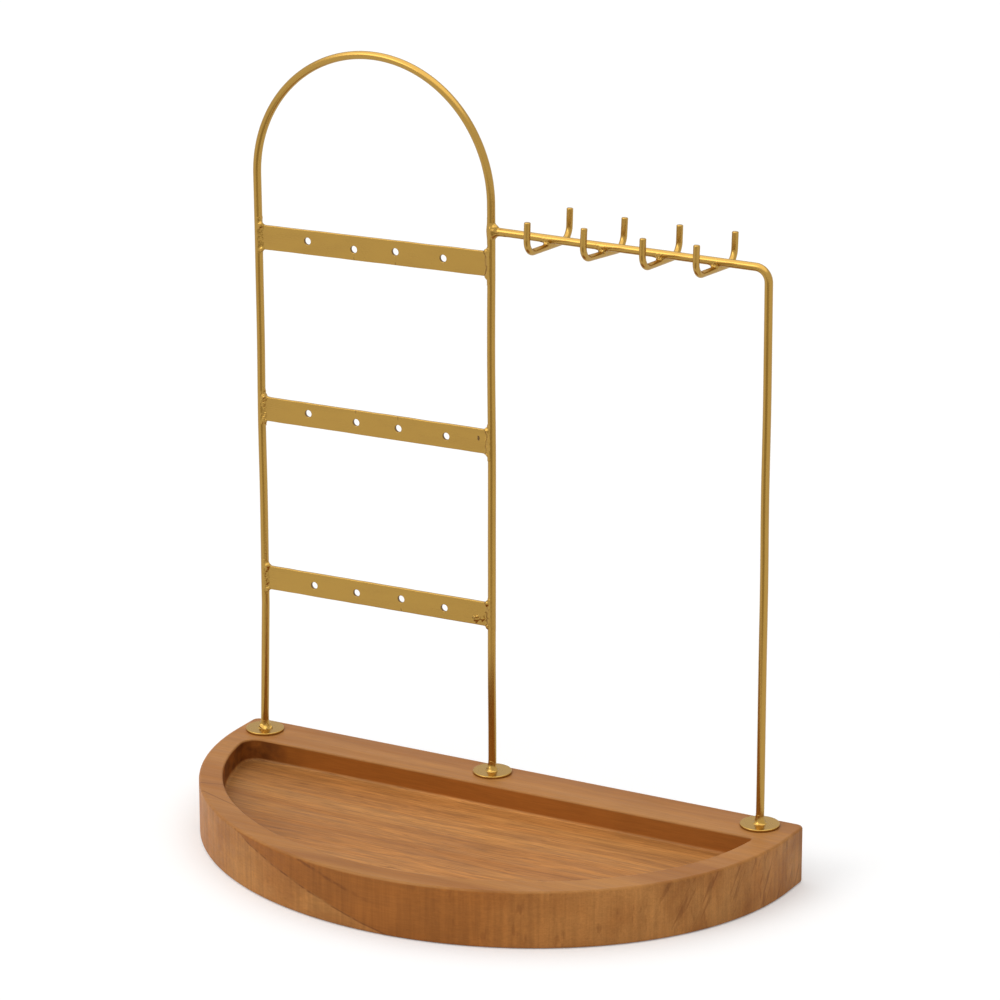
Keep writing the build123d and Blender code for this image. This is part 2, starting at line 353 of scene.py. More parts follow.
def add_piece(name, shell, slot, node, place, heat=None, stain=None):
    """Adds a shell as one piece that stands for a node, in the finish of its slot.

    place is the pattern's own coordinate at every vertex, with its third axis along the working direction.
    heat and stain say from 0 to 1 how far a vertex has been coloured by a weld or by flux.
    """
    vertices, faces = shell
    mesh = bpy.data.meshes.new(name)
    mesh.from_pydata(vertices.tolist(), [], faces)
    attribute = mesh.attributes.new("place", "FLOAT_VECTOR", "POINT")
    attribute.data.foreach_set("vector", np.asarray(place, np.float32).ravel())
    for label, values in (("heat", heat), ("stain", stain)):
        if values is not None:
            attribute = mesh.attributes.new(label, "FLOAT", "POINT")
            attribute.data.foreach_set("value", np.asarray(values, np.float32).ravel())
    work = bmesh.new()
    work.from_mesh(mesh)
    bmesh.ops.remove_doubles(work, verts=work.verts, dist=MERGE_GAP)
    open_edges = [edge for edge in work.edges if edge.is_boundary]
    bmesh.ops.holes_fill(work, edges=open_edges, sides=0)
    bmesh.ops.recalc_face_normals(work, faces=work.faces)
    work.to_mesh(mesh)
    work.free()
    mesh.shade_smooth()
    mesh.materials.append(metal_finish(slot))
    piece = bpy.data.objects.new(name, mesh)
    bpy.context.scene.collection.objects.link(piece)
    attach(piece, "root")
    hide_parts(node)


# Uneven fields and welded forms

WAVE_COUNT = 10
WAVE_SPREAD = (0.6, 1.7)  # least and greatest wave number, as shares of the one asked for
HALVINGS = 26
RAY_CROWDING = 0.78  # how far a weld's rays lean towards its strip
CHORD_POWER = 6  # how square the ends of an upright weld are


def ripples(points, wavelength, seed):
    """Smooth uneven field of about -1 to 1: plane waves of random direction, length and phase, added up."""
    rng = np.random.default_rng(seed)
    direction = rng.normal(size=(WAVE_COUNT, 3))
    direction /= np.linalg.norm(direction, axis=1, keepdims=True)
    number = 2 * math.pi / wavelength * rng.uniform(*WAVE_SPREAD, size=(WAVE_COUNT, 1)) * direction
    phase = rng.uniform(0, 2 * math.pi, size=WAVE_COUNT)
    return np.sin(points @ number.T + phase).sum(axis=-1) / math.sqrt(WAVE_COUNT)


def bell(distance, width):
    """Bell curve of a distance: 1 at zero, and about a third at the given width."""
    return np.exp(-((distance / width) ** 2))


def spot_distance(points, spot):
    """Distance from a spot."""
    return np.linalg.norm(points - np.asarray(spot), axis=-1)


def wire_distance(points, start, end, radius):
    """Distance from a round-ended wire: to the nearest point of its axis, less its radius."""
    run = np.subtract(end, start)
    offset = points - np.asarray(start)
    along = np.clip(offset @ run / (run @ run), 0, 1)
    return np.linalg.norm(offset - along[..., None] * run, axis=-1) - radius


def slab_distance(points, low, high):
    """Distance from a rectangular slab: outside to the nearest face, edge or corner, inside negative."""
    middle = (np.asarray(low) + np.asarray(high)) / 2
    beyond = np.abs(points - middle) - (np.asarray(high) - middle)
    outside = np.linalg.norm(np.maximum(beyond, 0), axis=-1)
    return outside + np.minimum(beyond.max(axis=-1), 0)


def blended(first, second, width):
    """Smooth minimum of two distances, which fills the corner between them over the given width."""
    mix = np.clip(0.5 + 0.5 * (second - first) / width, 0, 1)
    return second + (first - second) * mix - width * mix * (1 - mix)


def reach_of(field, origin, direction, limit):
    """How far each ray runs from its origin before the field turns positive, up to its limit, by halving."""
    near = np.zeros(direction.shape[:-1])
    far = np.broadcast_to(limit, near.shape).copy()
    for _ in range(HALVINGS):
        middle = (near + far) / 2
        outside = field(origin + direction * middle[..., None]) > 0
        far = np.where(outside, middle, far)
        near = np.where(outside, near, middle)
    return near


def weld_ball(field, centre, limit, rows=72, columns=96):
    """Closed surface where a field is zero, found along rays that leave a centre on all sides."""
    polar = np.linspace(0, math.pi, rows + 2)[1:-1, None]
    turn = full_turn(columns)
    direction = stacked(np.sin(polar) * np.cos(turn), np.sin(polar) * np.sin(turn), np.cos(polar))
    reach = reach_of(field, np.asarray(centre), direction, limit)
    return closed_tube(np.asarray(centre) + direction * reach[..., None])


def weld_column(field, x, low_z, high_z, limit, inward, rows=170, columns=132):
    """Closed surface where a field is zero, found along level rays that leave an upright axis.

    The rays lie closer together towards the strip. Their limit shrinks to nothing at both ends of the axis,
    as a rounded chord does.
    """
    level = np.linspace(-1, 1, rows)[:, None]
    turn = full_turn(columns)
    turn = turn - RAY_CROWDING * np.sin(turn)
    height = (low_z + high_z) / 2 + level * (high_z - low_z) / 2
    origin = stacked(x + 0 * turn, LEG_Y, height)
    direction = stacked(inward * np.cos(turn), np.sin(turn), 0 * height)
    chord = limit * np.sqrt(np.clip(1 - level**CHORD_POWER, 0, 1))
    reach = reach_of(field, origin, direction, chord)
    return closed_tube(origin + direction * reach[..., None])


def weld_spots():
    """Middles of the welds that left heat on the wires and strips."""
    spots = [(LEG_X["middle"] + WIRE_RADIUS, LEG_Y, ARM_Z)]
    for middle in BAR_MIDDLES.values():
        spots.append((LEG_X["left"] + WIRE_RADIUS, LEG_Y, middle[2]))
        spots.append((LEG_X["middle"] - WIRE_RADIUS, LEG_Y, middle[2]))
    spots += [(x, LEG_Y, ARM_Z - WIRE_RADIUS) for x in HOOK_X.values()]
    return spots


def glow(points, spread):
    """Heat left by the welds: 1 at a weld's middle, falling off as a bell curve of the given spread."""
    return np.max([bell(spot_distance(points, spot), spread) for spot in weld_spots()], axis=0)


# Wires

ARC_POINTS = 91  # along each bend of a line
SWAY_WAVE = 0.055  # length of the waves by which a wire strays
SWAY_START = (0.31, 0.77)  # where the line that reads those waves lies
RINGS_PER_PITCH = 8
LEG_COLUMNS = 36
HOOK_RINGS = 140
HOOK_COLUMNS = 32
CUT_RINGS = np.array([0, 0.3, 1])  # rings across a cut end's chamfer, as shares of it
HEAT_SPREAD = {"wire": 0.0032, "strip": 0.0040}


def bent_line(corners, radius):
    """Points of a line with rounded corners: straight runs joined by arcs of one radius that touch both."""
    corners = np.asarray(corners, float)
    points = [corners[:1]]
    for before, corner, after in zip(corners, corners[1:], corners[2:]):
        inward = (corner - before) / np.linalg.norm(corner - before)
        outward = (after - corner) / np.linalg.norm(after - corner)
        turn = math.acos(np.clip(inward @ outward, -1, 1))
        start = corner - inward * radius * math.tan(turn / 2)
        towards_centre = outward - inward * (inward @ outward)
        towards_centre /= np.linalg.norm(towards_centre)
        step = np.linspace(0, turn, ARC_POINTS)[:, None]
        points.append(start + radius * (np.sin(step) * inward + (1 - np.cos(step)) * towards_centre))
    points.append(corners[-1:])
    return np.concatenate(points)


def line_length(line):
    """Length of a line through its points."""
    return np.linalg.norm(np.diff(line, axis=0), axis=1).sum()


def along_line(line, lengths):
    """Points at the given lengths along a line."""
    steps = np.linalg.norm(np.diff(line, axis=0), axis=1)
    marks = np.concatenate([[0], np.cumsum(steps)])
    return stacked(*[np.interp(lengths, marks, line[:, axis]) for axis in range(3)])


def swayed(points, lengths, amount):
    """A hand-bent line: slow waves of random length move its points sideways."""
    drift = stacked(*SWAY_START, lengths)
    sideways = [ripples(drift + axis, SWAY_WAVE, SEEDS["wire_sway"] + axis) for axis in range(3)]
    return points + amount * stacked(*sideways)


def swept(line, side, lengths, radius, sway):
    """Round section carried along a line: at every length a circle of the given radius is set square to it.

    side is a unit vector that is nearly square to the whole line. Also gives the coordinates of the
    straightened wire.
    """
    centre = swayed(along_line(line, lengths), lengths, sway)
    ahead = np.gradient(along_line(line, lengths), lengths, axis=0)
    ahead /= np.linalg.norm(ahead, axis=1, keepdims=True)
    across = np.cross(side, ahead)
    across /= np.linalg.norm(across, axis=1, keepdims=True)
    aside = np.cross(ahead, across)
    turn = full_turn(radius.shape[1])
    ring = np.cos(turn)[:, None] * across[:, None] + np.sin(turn)[:, None] * aside[:, None]
    points = centre[:, None] + radius[..., None] * ring
    straight = about_axis((0, 0), radius, turn, lengths[:, None]).reshape(-1, 3)
    ends = stacked(0, 0, lengths[[0, -1]])
    return closed_tube(points), np.concatenate([straight, ends])


def thread_ridge(sizes, rise, turn):
    """Triangular ridges along a helix, by rise and turn: 0 at a leg's crests and 1 at its roots."""
    return np.abs((rise / sizes.thread_pitch - turn / (2 * math.pi)) % 1 * 2 - 1)


def leg_lengths(sizes, total, threaded_ends):
    """Lengths at which a leg wire has a ring: close together on a thread, a millimetre apart elsewhere."""
    fine = np.linspace(0, THREAD_LENGTH, int(THREAD_LENGTH / sizes.thread_pitch * RINGS_PER_PITCH))
    plain_end = total - THREAD_LENGTH if threaded_ends == 2 else total
    plain = np.linspace(THREAD_LENGTH, plain_end, int((plain_end - THREAD_LENGTH) / MILLIMETRE))[1:]
    parts = [fine, plain]
    if threaded_ends == 2:
        parts.append(total - fine[::-1][1:])
    return np.concatenate(parts)


def leg_radius(sizes, lengths, total, threaded_ends):
    """Radius of a leg wire by length and turn: plain wire, with a threaded stretch at one end or at both."""
    from_end = np.minimum(lengths, total - lengths) if threaded_ends == 2 else lengths
    from_end = from_end[:, None]
    ridge = thread_ridge(sizes, from_end, full_turn(LEG_COLUMNS))
    threaded = sizes.thread_radius - sizes.thread_depth * ridge
    threaded = np.minimum(threaded, sizes.thread_radius - sizes.cut_chamfer + from_end)
    return np.where(from_end < THREAD_LENGTH - sizes.thread_pitch, threaded, WIRE_RADIUS)


def leg_wire(sizes, corners, bend, threaded_ends):
    """Wire of the frame through its corners, with one radius of bend."""
    line = bent_line(corners, bend)
    total = line_length(line)
    lengths = leg_lengths(sizes, total, threaded_ends)
    radius = leg_radius(sizes, lengths, total, threaded_ends)
    return swept(line, (0, 1, 0), lengths, radius, sizes.wire_sway)


def arch_shell(sizes):
    """Inverted U: up the left leg, whose foot stands forward, over a half circle, down the middle leg."""
    left, middle = LEG_X["left"], LEG_X["middle"]
    corners = [
        (*FOOT_PLACES["left"], ARCH_LOW.z),
        (*FOOT_PLACES["left"], sizes.lean_low),
        (left, LEG_Y, sizes.lean_high),
        (left, LEG_Y, ARCH_AXIS_Z),
        (middle, LEG_Y, ARCH_AXIS_Z),
        (middle, LEG_Y, ARCH_LOW.z),
    ]
    return leg_wire(sizes, corners, (middle - left) / 2, 2)


def arm_shell(sizes):
    """Inverted L: up the right leg, round the bend and along the bar, into the middle leg."""
    corners = [
        (LEG_X["right"], LEG_Y, ARCH_LOW.z),
        (LEG_X["right"], LEG_Y, ARM_Z),
        (LEG_X["middle"] + WIRE_RADIUS / 2, LEG_Y, ARM_Z),
    ]
    return leg_wire(sizes, corners, sizes.arm_bend, 1)


def hook_drop(sizes):
    """From the arm's axis down to the axis of a hook's cross run."""
    return WIRE_RADIUS + sizes.weld_gap + HOOK_RADIUS


def hook_frame(sizes, number):
    """A hook's origin on the arm's axis, and its tilted backward and upward directions."""
    departure = HOOK_DEPARTURES[number]
    tilt = sizes.hook_tilt + math.radians(departure["tilt"])
    origin = np.array([HOOK_X[number] + departure["sideways"] * MILLIMETRE, LEG_Y, ARM_Z])
    backward = np.array([0, math.cos(tilt), -math.sin(tilt)])
    upward = np.array([0, math.sin(tilt), math.cos(tilt)])
    return origin, backward, upward


def hook_shell(sizes, number):
    """U of thin wire across the arm: down the front upright, back under the arm and up the back upright."""
    origin, backward, upward = hook_frame(sizes, number)
    departure = HOOK_DEPARTURES[number]
    front = sizes.hook_reach + departure["front"] * MILLIMETRE
    back = sizes.hook_reach + departure["back"] * MILLIMETRE
    rise = sizes.hook_rise + departure["rise"] * MILLIMETRE
    drop = hook_drop(sizes)
    outline = ((-front, rise), (-front, -drop), (back, -drop), (back, rise))
    corners = [origin + along * backward + up * upward for along, up in outline]
    line = bent_line(corners, sizes.hook_bend)
    total = line_length(line)
    edge = sizes.cut_chamfer * CUT_RINGS
    between_edges = np.linspace(2 * edge[-1], total - 2 * edge[-1], HOOK_RINGS)
    lengths = np.concatenate([edge, between_edges, total - edge[::-1]])
    from_end = np.minimum(lengths, total - lengths)
    radius = np.minimum(HOOK_RADIUS, HOOK_RADIUS - sizes.cut_chamfer + from_end)
    return swept(line, (1, 0, 0), lengths, np.repeat(radius[:, None], HOOK_COLUMNS, axis=1), 0)


# Drilled strips

CELL_STEPS = np.linspace(0, 1, 64, endpoint=False)  # points along each side of a hole's cell, as shares of it
CELL_ROWS = np.array([0, 0.02, 0.12, 0.24, 0.36, 0.48, 0.6, 0.72, 0.84, 0.93, 0.985])  # from border to lip
EDGE_TURN = np.linspace(0, math.pi / 2, 6)  # angles across a rounded edge
BORE_MARGIN = 0.06 * MILLIMETRE  # how far a bore's dark stain runs out
BORE_STAIN = 0.85
TICK_HALF_WIDTH = 0.18 * MILLIMETRE
TICK_LENGTH = 1.3 * MILLIMETRE
TICK_STAIN = 0.6
SHEAR_WAVE = 0.013  # length of the waves along a sheared edge
BOW_WAVE = 0.09  # length of the waves that bow a strip's face
BOW_SHARE = 0.8  # of the edges' waver


def hole_places(bar):
    """Places of a strip's holes along x and above its middle line, from its mounts, as drilled by hand."""
    places = []
    for pair in ("inner", "outer"):
        mount = MOUNTS[f"earring_holes_{bar}_{pair}"]
        half = mount["dims"]["spacing_x_mm"] / 2 * MILLIMETRE
        places += [mount["pos_m"][0] - half, mount["pos_m"][0] + half]
    return stacked(np.sort(places), 0) + np.array(HOLE_DEPARTURES[bar]) * MILLIMETRE


def turned_level(points, middle, degrees):
    """Points turned about a middle, in the frame's upright plane, so that the end at +x rises."""
    tilt = math.radians(degrees)
    offset = points - middle
    x = offset[..., 0] * math.cos(tilt) - offset[..., 2] * math.sin(tilt)
    z = offset[..., 0] * math.sin(tilt) + offset[..., 2] * math.cos(tilt)
    return middle + stacked(x, offset[..., 1], z)


def hole_cell(sizes, x_left, x_right, hole, half_thick, border_z):
    """Grid over the part of a strip that surrounds one hole.

    Rows run from the cell's border in on the front face, over the hole's rounded lip, through the bore, over
    the back lip and out on the back face. Columns run round the border, and every border point looks to the
    hole.
    """
    across = x_left + (x_right - x_left) * CELL_STEPS
    down = border_z - 2 * border_z * CELL_STEPS
    sides = (
        stacked(across, border_z),
        stacked(x_right, down),
        stacked(x_right + x_left - across, -border_z),
        stacked(x_left, -down),
    )
    border = np.concatenate(sides)
    to_border = border - hole
    ray = to_border / np.linalg.norm(to_border, axis=1, keepdims=True)

    on_face = np.zeros(len(CELL_ROWS))
    front_share = np.concatenate([CELL_ROWS, np.ones(len(EDGE_TURN))])
    front_radius = HOLE_RADIUS + sizes.hole_lip * (1 - np.concatenate([on_face, np.sin(EDGE_TURN)]))
    front_y = -half_thick + sizes.hole_lip * (1 - np.concatenate([on_face + 1, np.cos(EDGE_TURN)]))
    inner = np.concatenate([front_share, front_share[::-1]])[:, None, None]
    radius = np.concatenate([front_radius, front_radius[::-1]])[:, None, None]
    y = np.concatenate([front_y, -front_y[::-1]])[:, None]
    flat = (1 - inner) * border + inner * (hole + radius * ray)
    return grid_shell(stacked(flat[..., 0], y, flat[..., 1]), False, True)


def edge_rail(sizes, stations, half_thick, half_high, side):
    """Grid over one long edge of a strip: front rounding, flat edge and back rounding, carried along x."""
    y = -half_thick + sizes.strip_edge * (1 - np.cos(EDGE_TURN))
    z = half_high - sizes.strip_edge * (1 - np.sin(EDGE_TURN))
    y = np.concatenate([y, -y[::-1]])[:, None]
    z = np.concatenate([z, z[::-1]])[:, None] * side
    return grid_shell(stacked(stations, y, z), False, False)


def strip_shell(sizes, bar):
    """Drilled strip: one cell round each hole, and a rounded rail along the upper and the lower edge."""
    low, high = BAR_BOXES[bar]
    middle = BAR_MIDDLES[bar]
    half_thick = (high.y - low.y) / 2
    half_high = (high.z - low.z) / 2
    border_z = half_high - sizes.strip_edge
    sunk = WIRE_RADIUS / 8
    half_long = (high.x - low.x) / 2 + sunk
    holes = hole_places(bar) - (middle[0], 0)
    seams = [-half_long, *((holes[1:, 0] + holes[:-1, 0]) / 2), half_long]
    cells = []
    stations = []
    for left, right, hole in zip(seams, seams[1:], holes):
        cells.append(hole_cell(sizes, left, right, hole, half_thick, border_z))
        stations.append(left + (right - left) * CELL_STEPS)
    stations = np.concatenate([*stations, [half_long]])
    rails = [edge_rail(sizes, stations, half_thick, half_high, side) for side in (1, -1)]
    vertices, faces = joined(*cells, *rails)
    stain = strip_stain(vertices, bar, holes, half_high)
    vertices = sheared(vertices, half_high, sizes.strip_waver, BAR_NAMES.index(bar)) + middle
    return (turned_level(vertices, middle, STRIP_TILTS[bar]), faces), stain


def strip_stain(points, bar, holes, half_high):
    """Dark bores, and scribed ticks between some holes and the strip's edge."""
    x, z = points[:, 0], points[:, 2]
    stain = np.zeros(len(points))
    for hole_x, hole_z in holes:
        stain = np.where(np.hypot(x - hole_x, z - hole_z) < HOLE_RADIUS + BORE_MARGIN, BORE_STAIN, stain)
    side, ticked = SCRIBE_TICKS[bar]
    for index in ticked:
        near = np.abs(x - holes[index, 0]) < TICK_HALF_WIDTH
        stain = np.where(near & (side * z > half_high - TICK_LENGTH), TICK_STAIN, stain)
    return stain


def sheared(points, half_high, amount, number):
    """A strip cut by shears: slow waves in x move its long edges up and down and bow its face a little."""
    x = points[:, :1] * (1, 0, 0)
    upper = ripples(x, SHEAR_WAVE, SEEDS["upper_edge"] + number)
    lower = ripples(x, SHEAR_WAVE, SEEDS["lower_edge"] + number)
    bow = ripples(x, BOW_WAVE, SEEDS["bow"] + number)
    height = points[:, 2] / half_high
    waver = np.where(height > 0, upper, lower) * height**2
    return points + amount * stacked(0, BOW_SHARE * bow, waver)


# Welds

WELD_SKIN = 0.00004  # how far a weld's plain stretches lie inside the pieces that they join
# Each kind of weld: width and height of its swollen middle, length of its lumps, and its farthest reach
WELDS = {
    "strip": {"width": 0.0013, "swell": 0.00006, "wave": 0.0019, "limit": 0.0030},
    "arm": {"width": 0.0022, "swell": 0.00008, "wave": 0.0020, "limit": 0.0058},
    "hook": {"width": 0.0020, "swell": 0.00012, "wave": 0.0017, "limit": 0.0036},
}
GRIT_WAVE = 0.0008  # length of the small lumps on a strip's weld
GRIT_SHARE = 0.4
LOWER_BEAD_SHARE = 0.7  # of the upper bead's radius
STRIP_WELD_OVERRUN = 0.0026  # past a strip's upper and lower edge
STRIP_WELD_INSET = 0.0005  # from a leg's surface in to the axis that the weld's rays leave
ARM_BEAD = (0.0006, -0.0004, 1.1 * WIRE_RADIUS)  # from the middle of the arm's weld
ARM_START = 0.9 * WIRE_RADIUS  # from the middle leg's axis to the arm's end
HOOK_RUN = 0.01  # how much of a hook's cross run a weld can reach, to each side
HOOK_LUMP_SHARE = 1.6
DROP_WAVE = 0.0013
DROP_LUMP_SHARE = 0.3
DROP_LIMIT = 0.003
WELD_HEAT = {"strip": 0.25, "arm": 0.2, "hook": 1.0}  # heat tint on the welds themselves


def leg_gap(points, leg):
    """Distance from a leg of the arch."""
    x = LEG_X[leg]
    return wire_distance(points, (x, LEG_Y, DISC_HIGH.z), (x, LEG_Y, ARCH_AXIS_Z), WIRE_RADIUS)


def arm_gap(points, start_x):
    """Distance from the arm's bar, between a start and its far end."""
    return wire_distance(points, (start_x, LEG_Y, ARM_Z), (LEG_X["right"], LEG_Y, ARM_Z), WIRE_RADIUS)


def swelling(kind, distance, lump):
    """How far a weld swells: a bell curve of the distance from its middle, made uneven by its lumps."""
    return bell(distance, WELDS[kind]["width"]) * (WELDS[kind]["swell"] + lump)


def strip_weld_shell(sizes, bar, leg, inward):
    """Weld between a leg and the end of a strip.

    The leg and the tilted strip run into each other over the blend's width. Beads sit on the strip's upper
    and lower corner, and the seam swells unevenly near the leg.
    """
    low, high = BAR_BOXES[bar]
    middle = BAR_MIDDLES[bar]
    slab_low = np.array(low) - (WIRE_RADIUS, 0, 0)
    slab_high = np.array(high) + (WIRE_RADIUS, 0, 0)
    seam_x = LEG_X[leg] + inward * WIRE_RADIUS
    half_high = (high.z - low.z) / 2
    corners = np.array([(seam_x, low.y, middle[2] + side * half_high) for side in (1, -1)])
    beads = turned_level(corners, middle, STRIP_TILTS[bar])
    bead_sizes = (sizes.weld_nugget, LOWER_BEAD_SHARE * sizes.weld_nugget)

    def field(points):
        slab = slab_distance(turned_level(points, middle, -STRIP_TILTS[bar]), slab_low, slab_high)
        metal = blended(leg_gap(points, leg), slab, sizes.strip_blend)
        for bead, radius in zip(beads, bead_sizes):
            metal = blended(metal, spot_distance(points, bead) - radius, sizes.weld_nugget)
        lump = ripples(points, WELDS["strip"]["wave"], SEEDS["strip_weld"])
        lump = lump + GRIT_SHARE * ripples(points, GRIT_WAVE, SEEDS["strip_grit"])
        lump = STRIP_WELD_LUMPS[bar] * sizes.weld_lump * lump
        return metal + WELD_SKIN - swelling("strip", points[..., 0] - seam_x, lump)

    axis_x = LEG_X[leg] + inward * (WIRE_RADIUS - STRIP_WELD_INSET)
    low_z = low.z - STRIP_WELD_OVERRUN
    high_z = high.z + STRIP_WELD_OVERRUN
    return weld_column(field, axis_x, low_z, high_z, WELDS["strip"]["limit"], inward)


def drop_shell(bar, drop):
    """Drop of weld metal or flux on a strip's face: a lumpy ball, flattened and half sunk into the strip."""
    low, high = BAR_BOXES[bar]
    middle = BAR_MIDDLES[bar]
    x = high.x - drop["from_leg"] * MILLIMETRE
    centre = np.array([x, low.y, middle[2] + drop["up"] * MILLIMETRE])
    centre = turned_level(centre, middle, STRIP_TILTS[bar])
    radius = drop["radius"] * MILLIMETRE

    def field(points):
        offset = (points - centre) * (1, drop["flat"], 1 / drop["tall"])
        lump = DROP_LUMP_SHARE * ripples(points, DROP_WAVE, SEEDS["drop"])
        return np.linalg.norm(offset, axis=-1) - radius * (1 + lump)

    return weld_ball(field, centre, DROP_LIMIT, rows=40, columns=56)


def arm_weld_shell(sizes):
    """Collar between the arm and the arch: both wires run into each other, with a bead above the corner."""
    x = LEG_X["middle"]
    joint = np.array([x + WIRE_RADIUS, LEG_Y, ARM_Z])
    bead = joint + ARM_BEAD

    def field(points):
        metal = blended(leg_gap(points, "middle"), arm_gap(points, x + ARM_START), sizes.arm_blend)
        metal = blended(metal, spot_distance(points, bead) - sizes.weld_nugget, sizes.weld_nugget)
        lump = sizes.weld_lump * ripples(points, WELDS["arm"]["wave"], SEEDS["arm_weld"])
        return metal + WELD_SKIN - swelling("arm", spot_distance(points, joint), lump)

    return weld_ball(field, joint - (WIRE_RADIUS / 4, 0, 0), WELDS["arm"]["limit"])


def hook_weld_shell(sizes, number):
    """Blob between the arm and a hook: both wires run into each other, lumpy in the middle."""
    origin, backward, upward = hook_frame(sizes, number)
    run = origin - hook_drop(sizes) * upward
    joint = origin - (WIRE_RADIUS + sizes.weld_gap / 2) * upward

    def field(points):
        hook_gap = wire_distance(points, run - HOOK_RUN * backward, run + HOOK_RUN * backward, HOOK_RADIUS)
        metal = blended(arm_gap(points, LEG_X["middle"]), hook_gap, sizes.hook_blend)
        lump = ripples(points, WELDS["hook"]["wave"], SEEDS["hook_weld"])
        lump = HOOK_LUMP_SHARE * sizes.weld_lump * lump
        return metal + WELD_SKIN - swelling("hook", spot_distance(points, joint), lump)

    return weld_ball(field, joint, WELDS["hook"]["limit"])


# Turned pieces

TURNED_COLUMNS = 96
CORNER_STEPS = 6
LEDGE = 1.4  # from a plate's edge to its nearest ring, as a share of the rounding
DISC_OVERLAP = 0.0001  # how far a disc reaches into its leg
FLARE_ROWS = 40
FLARE_COLUMNS = 120
FLARE_SWELL_SHARE = 0.12
FLARE_SWELL_WAVE = 2.6  # on a circle of radius 1
FLARE_LUMP_WAVE = 0.0024
FLARE_LUMP_LIFT = 0.6  # raises the lumps, so that fewer are cut off
NUT_ROWS = 25
NUT_FACE_SHARE = 0.93  # of the corners' radius, at the nut's ends
NUT_CONE_SLOPE = 1.2
NUT_BORE_CLEARANCE = 0.00005
NUT_THREAD_SHARE = 0.5  # of the thread's depth
WASHER_CLEARANCE = 0.0001
WASHER_EDGE = 0.0001


def turned(profile, place):
    """Closed ring profile of radius and height, turned about the upright axis of a foot."""
    points = about_axis(place, profile[:, :1], full_turn(TURNED_COLUMNS), profile[:, 1:])
    return grid_shell(points, True, True)


def rounded_corner(radius_at, height_at, rounding, start):
    """Quarter circle of a profile, from one angle in quarter turns to the next, about its own centre."""
    turn = (start + np.linspace(0, 1, CORNER_STEPS)) * math.pi / 2
    return stacked(radius_at + rounding * np.cos(turn), height_at + rounding * np.sin(turn))


def plate_profile(inner, outer, low, high, rounding):
    """Profile of a flat ring with rounded outer edges."""
    inset = outer - LEDGE * rounding
    ledge = inner + LEDGE * rounding
    stretches = (
        [(inner, low), (ledge, low), (inset, low)],
        rounded_corner(outer - rounding, low + rounding, rounding, 3),
        rounded_corner(outer - rounding, high - rounding, rounding, 0),
        [(inset, high), (ledge, high), (inner, high)],
    )
    return np.concatenate(stretches)


def turning_place(points, place):
    """Coordinates of a turned piece: distance from the axis, height, and the way round its edge."""
    offset = points - (*place, 0)
    from_axis = np.hypot(offset[:, 0], offset[:, 1])
    around = np.arctan2(offset[:, 1], offset[:, 0]) * DISC_RADIUS
    return stacked(from_axis, offset[:, 2], around)


def foot_flare_shell(sizes, leg):
    """Flare between a leg and its disc.

    A hollow quarter ellipse is turned about the leg. It swells and sinks with the turn, as the weld ran, and
    the ring closes inside the leg and the disc.
    """
    place = FOOT_PLACES[leg]
    turn = full_turn(FLARE_COLUMNS)[None, :]
    sink = WIRE_RADIUS / 10
    spot = stacked(np.cos(turn), np.sin(turn), place[0] / MILLIMETRE)
    swell = 1 + FLARE_SWELL_SHARE * FOOT_LUMPS[leg] * ripples(spot, FLARE_SWELL_WAVE, SEEDS["foot_swell"])
    fall = np.linspace(0, 1, FLARE_ROWS)[:, None]
    swing = fall * math.pi / 2
    radius = WIRE_RADIUS + sizes.foot_flare * swell * (1 - np.cos(swing))
    height = DISC_HIGH.z + sizes.foot_climb * swell * (1 - np.sin(swing))
    points = about_axis(place, radius, turn, height)
    lump = ripples(points, FLARE_LUMP_WAVE, SEEDS["foot_lump"]) + FLARE_LUMP_LIFT
    lump = np.clip(sizes.weld_lump * FOOT_LUMPS[leg] * lump, 0, None) * np.sin(fall**2 * math.pi)
    points = points + lump[..., None] * stacked(np.cos(turn), np.sin(turn), fall)
    points[-1, :, 2] = DISC_HIGH.z - sink
    inner = about_axis(place, WIRE_RADIUS - sink, turn, points[[-1, 0], :, 2])
    return grid_shell(np.concatenate([points, inner]), True, True)


def nut_shell(sizes, place):
    """Hexagon nut with a threaded bore.

    The outer radius is the hexagon's at that turn, cut off by a cone at both ends. The bore's radius follows
    the thread's helix of triangular ridges.
    """
    turn = full_turn(TURNED_COLUMNS)
    half_flats = NUT_HIGH.y - LEG_Y
    hexagon = half_flats / np.cos((turn + math.pi / 6) % (math.pi / 3) - math.pi / 6)
    corner = half_flats / math.cos(math.pi / 6)
    height = NUT_LOW.z + (NUT_HIGH.z - NUT_LOW.z) * np.linspace(0, 1, NUT_ROWS)[:, None]
    from_end = np.minimum(height - NUT_LOW.z, NUT_HIGH.z - height)
    outer = np.minimum(hexagon, NUT_FACE_SHARE * corner + NUT_CONE_SLOPE * from_end)
    ridge = thread_ridge(sizes, height - ARCH_LOW.z, turn)
    bore = sizes.thread_radius + NUT_BORE_CLEARANCE - NUT_THREAD_SHARE * sizes.thread_depth * (1 - ridge)
    radius = np.concatenate([outer, bore[::-1]])
    height = np.concatenate([height, height[::-1]])
    return grid_shell(about_axis(place, radius, turn, height), True, True)


# Finishes


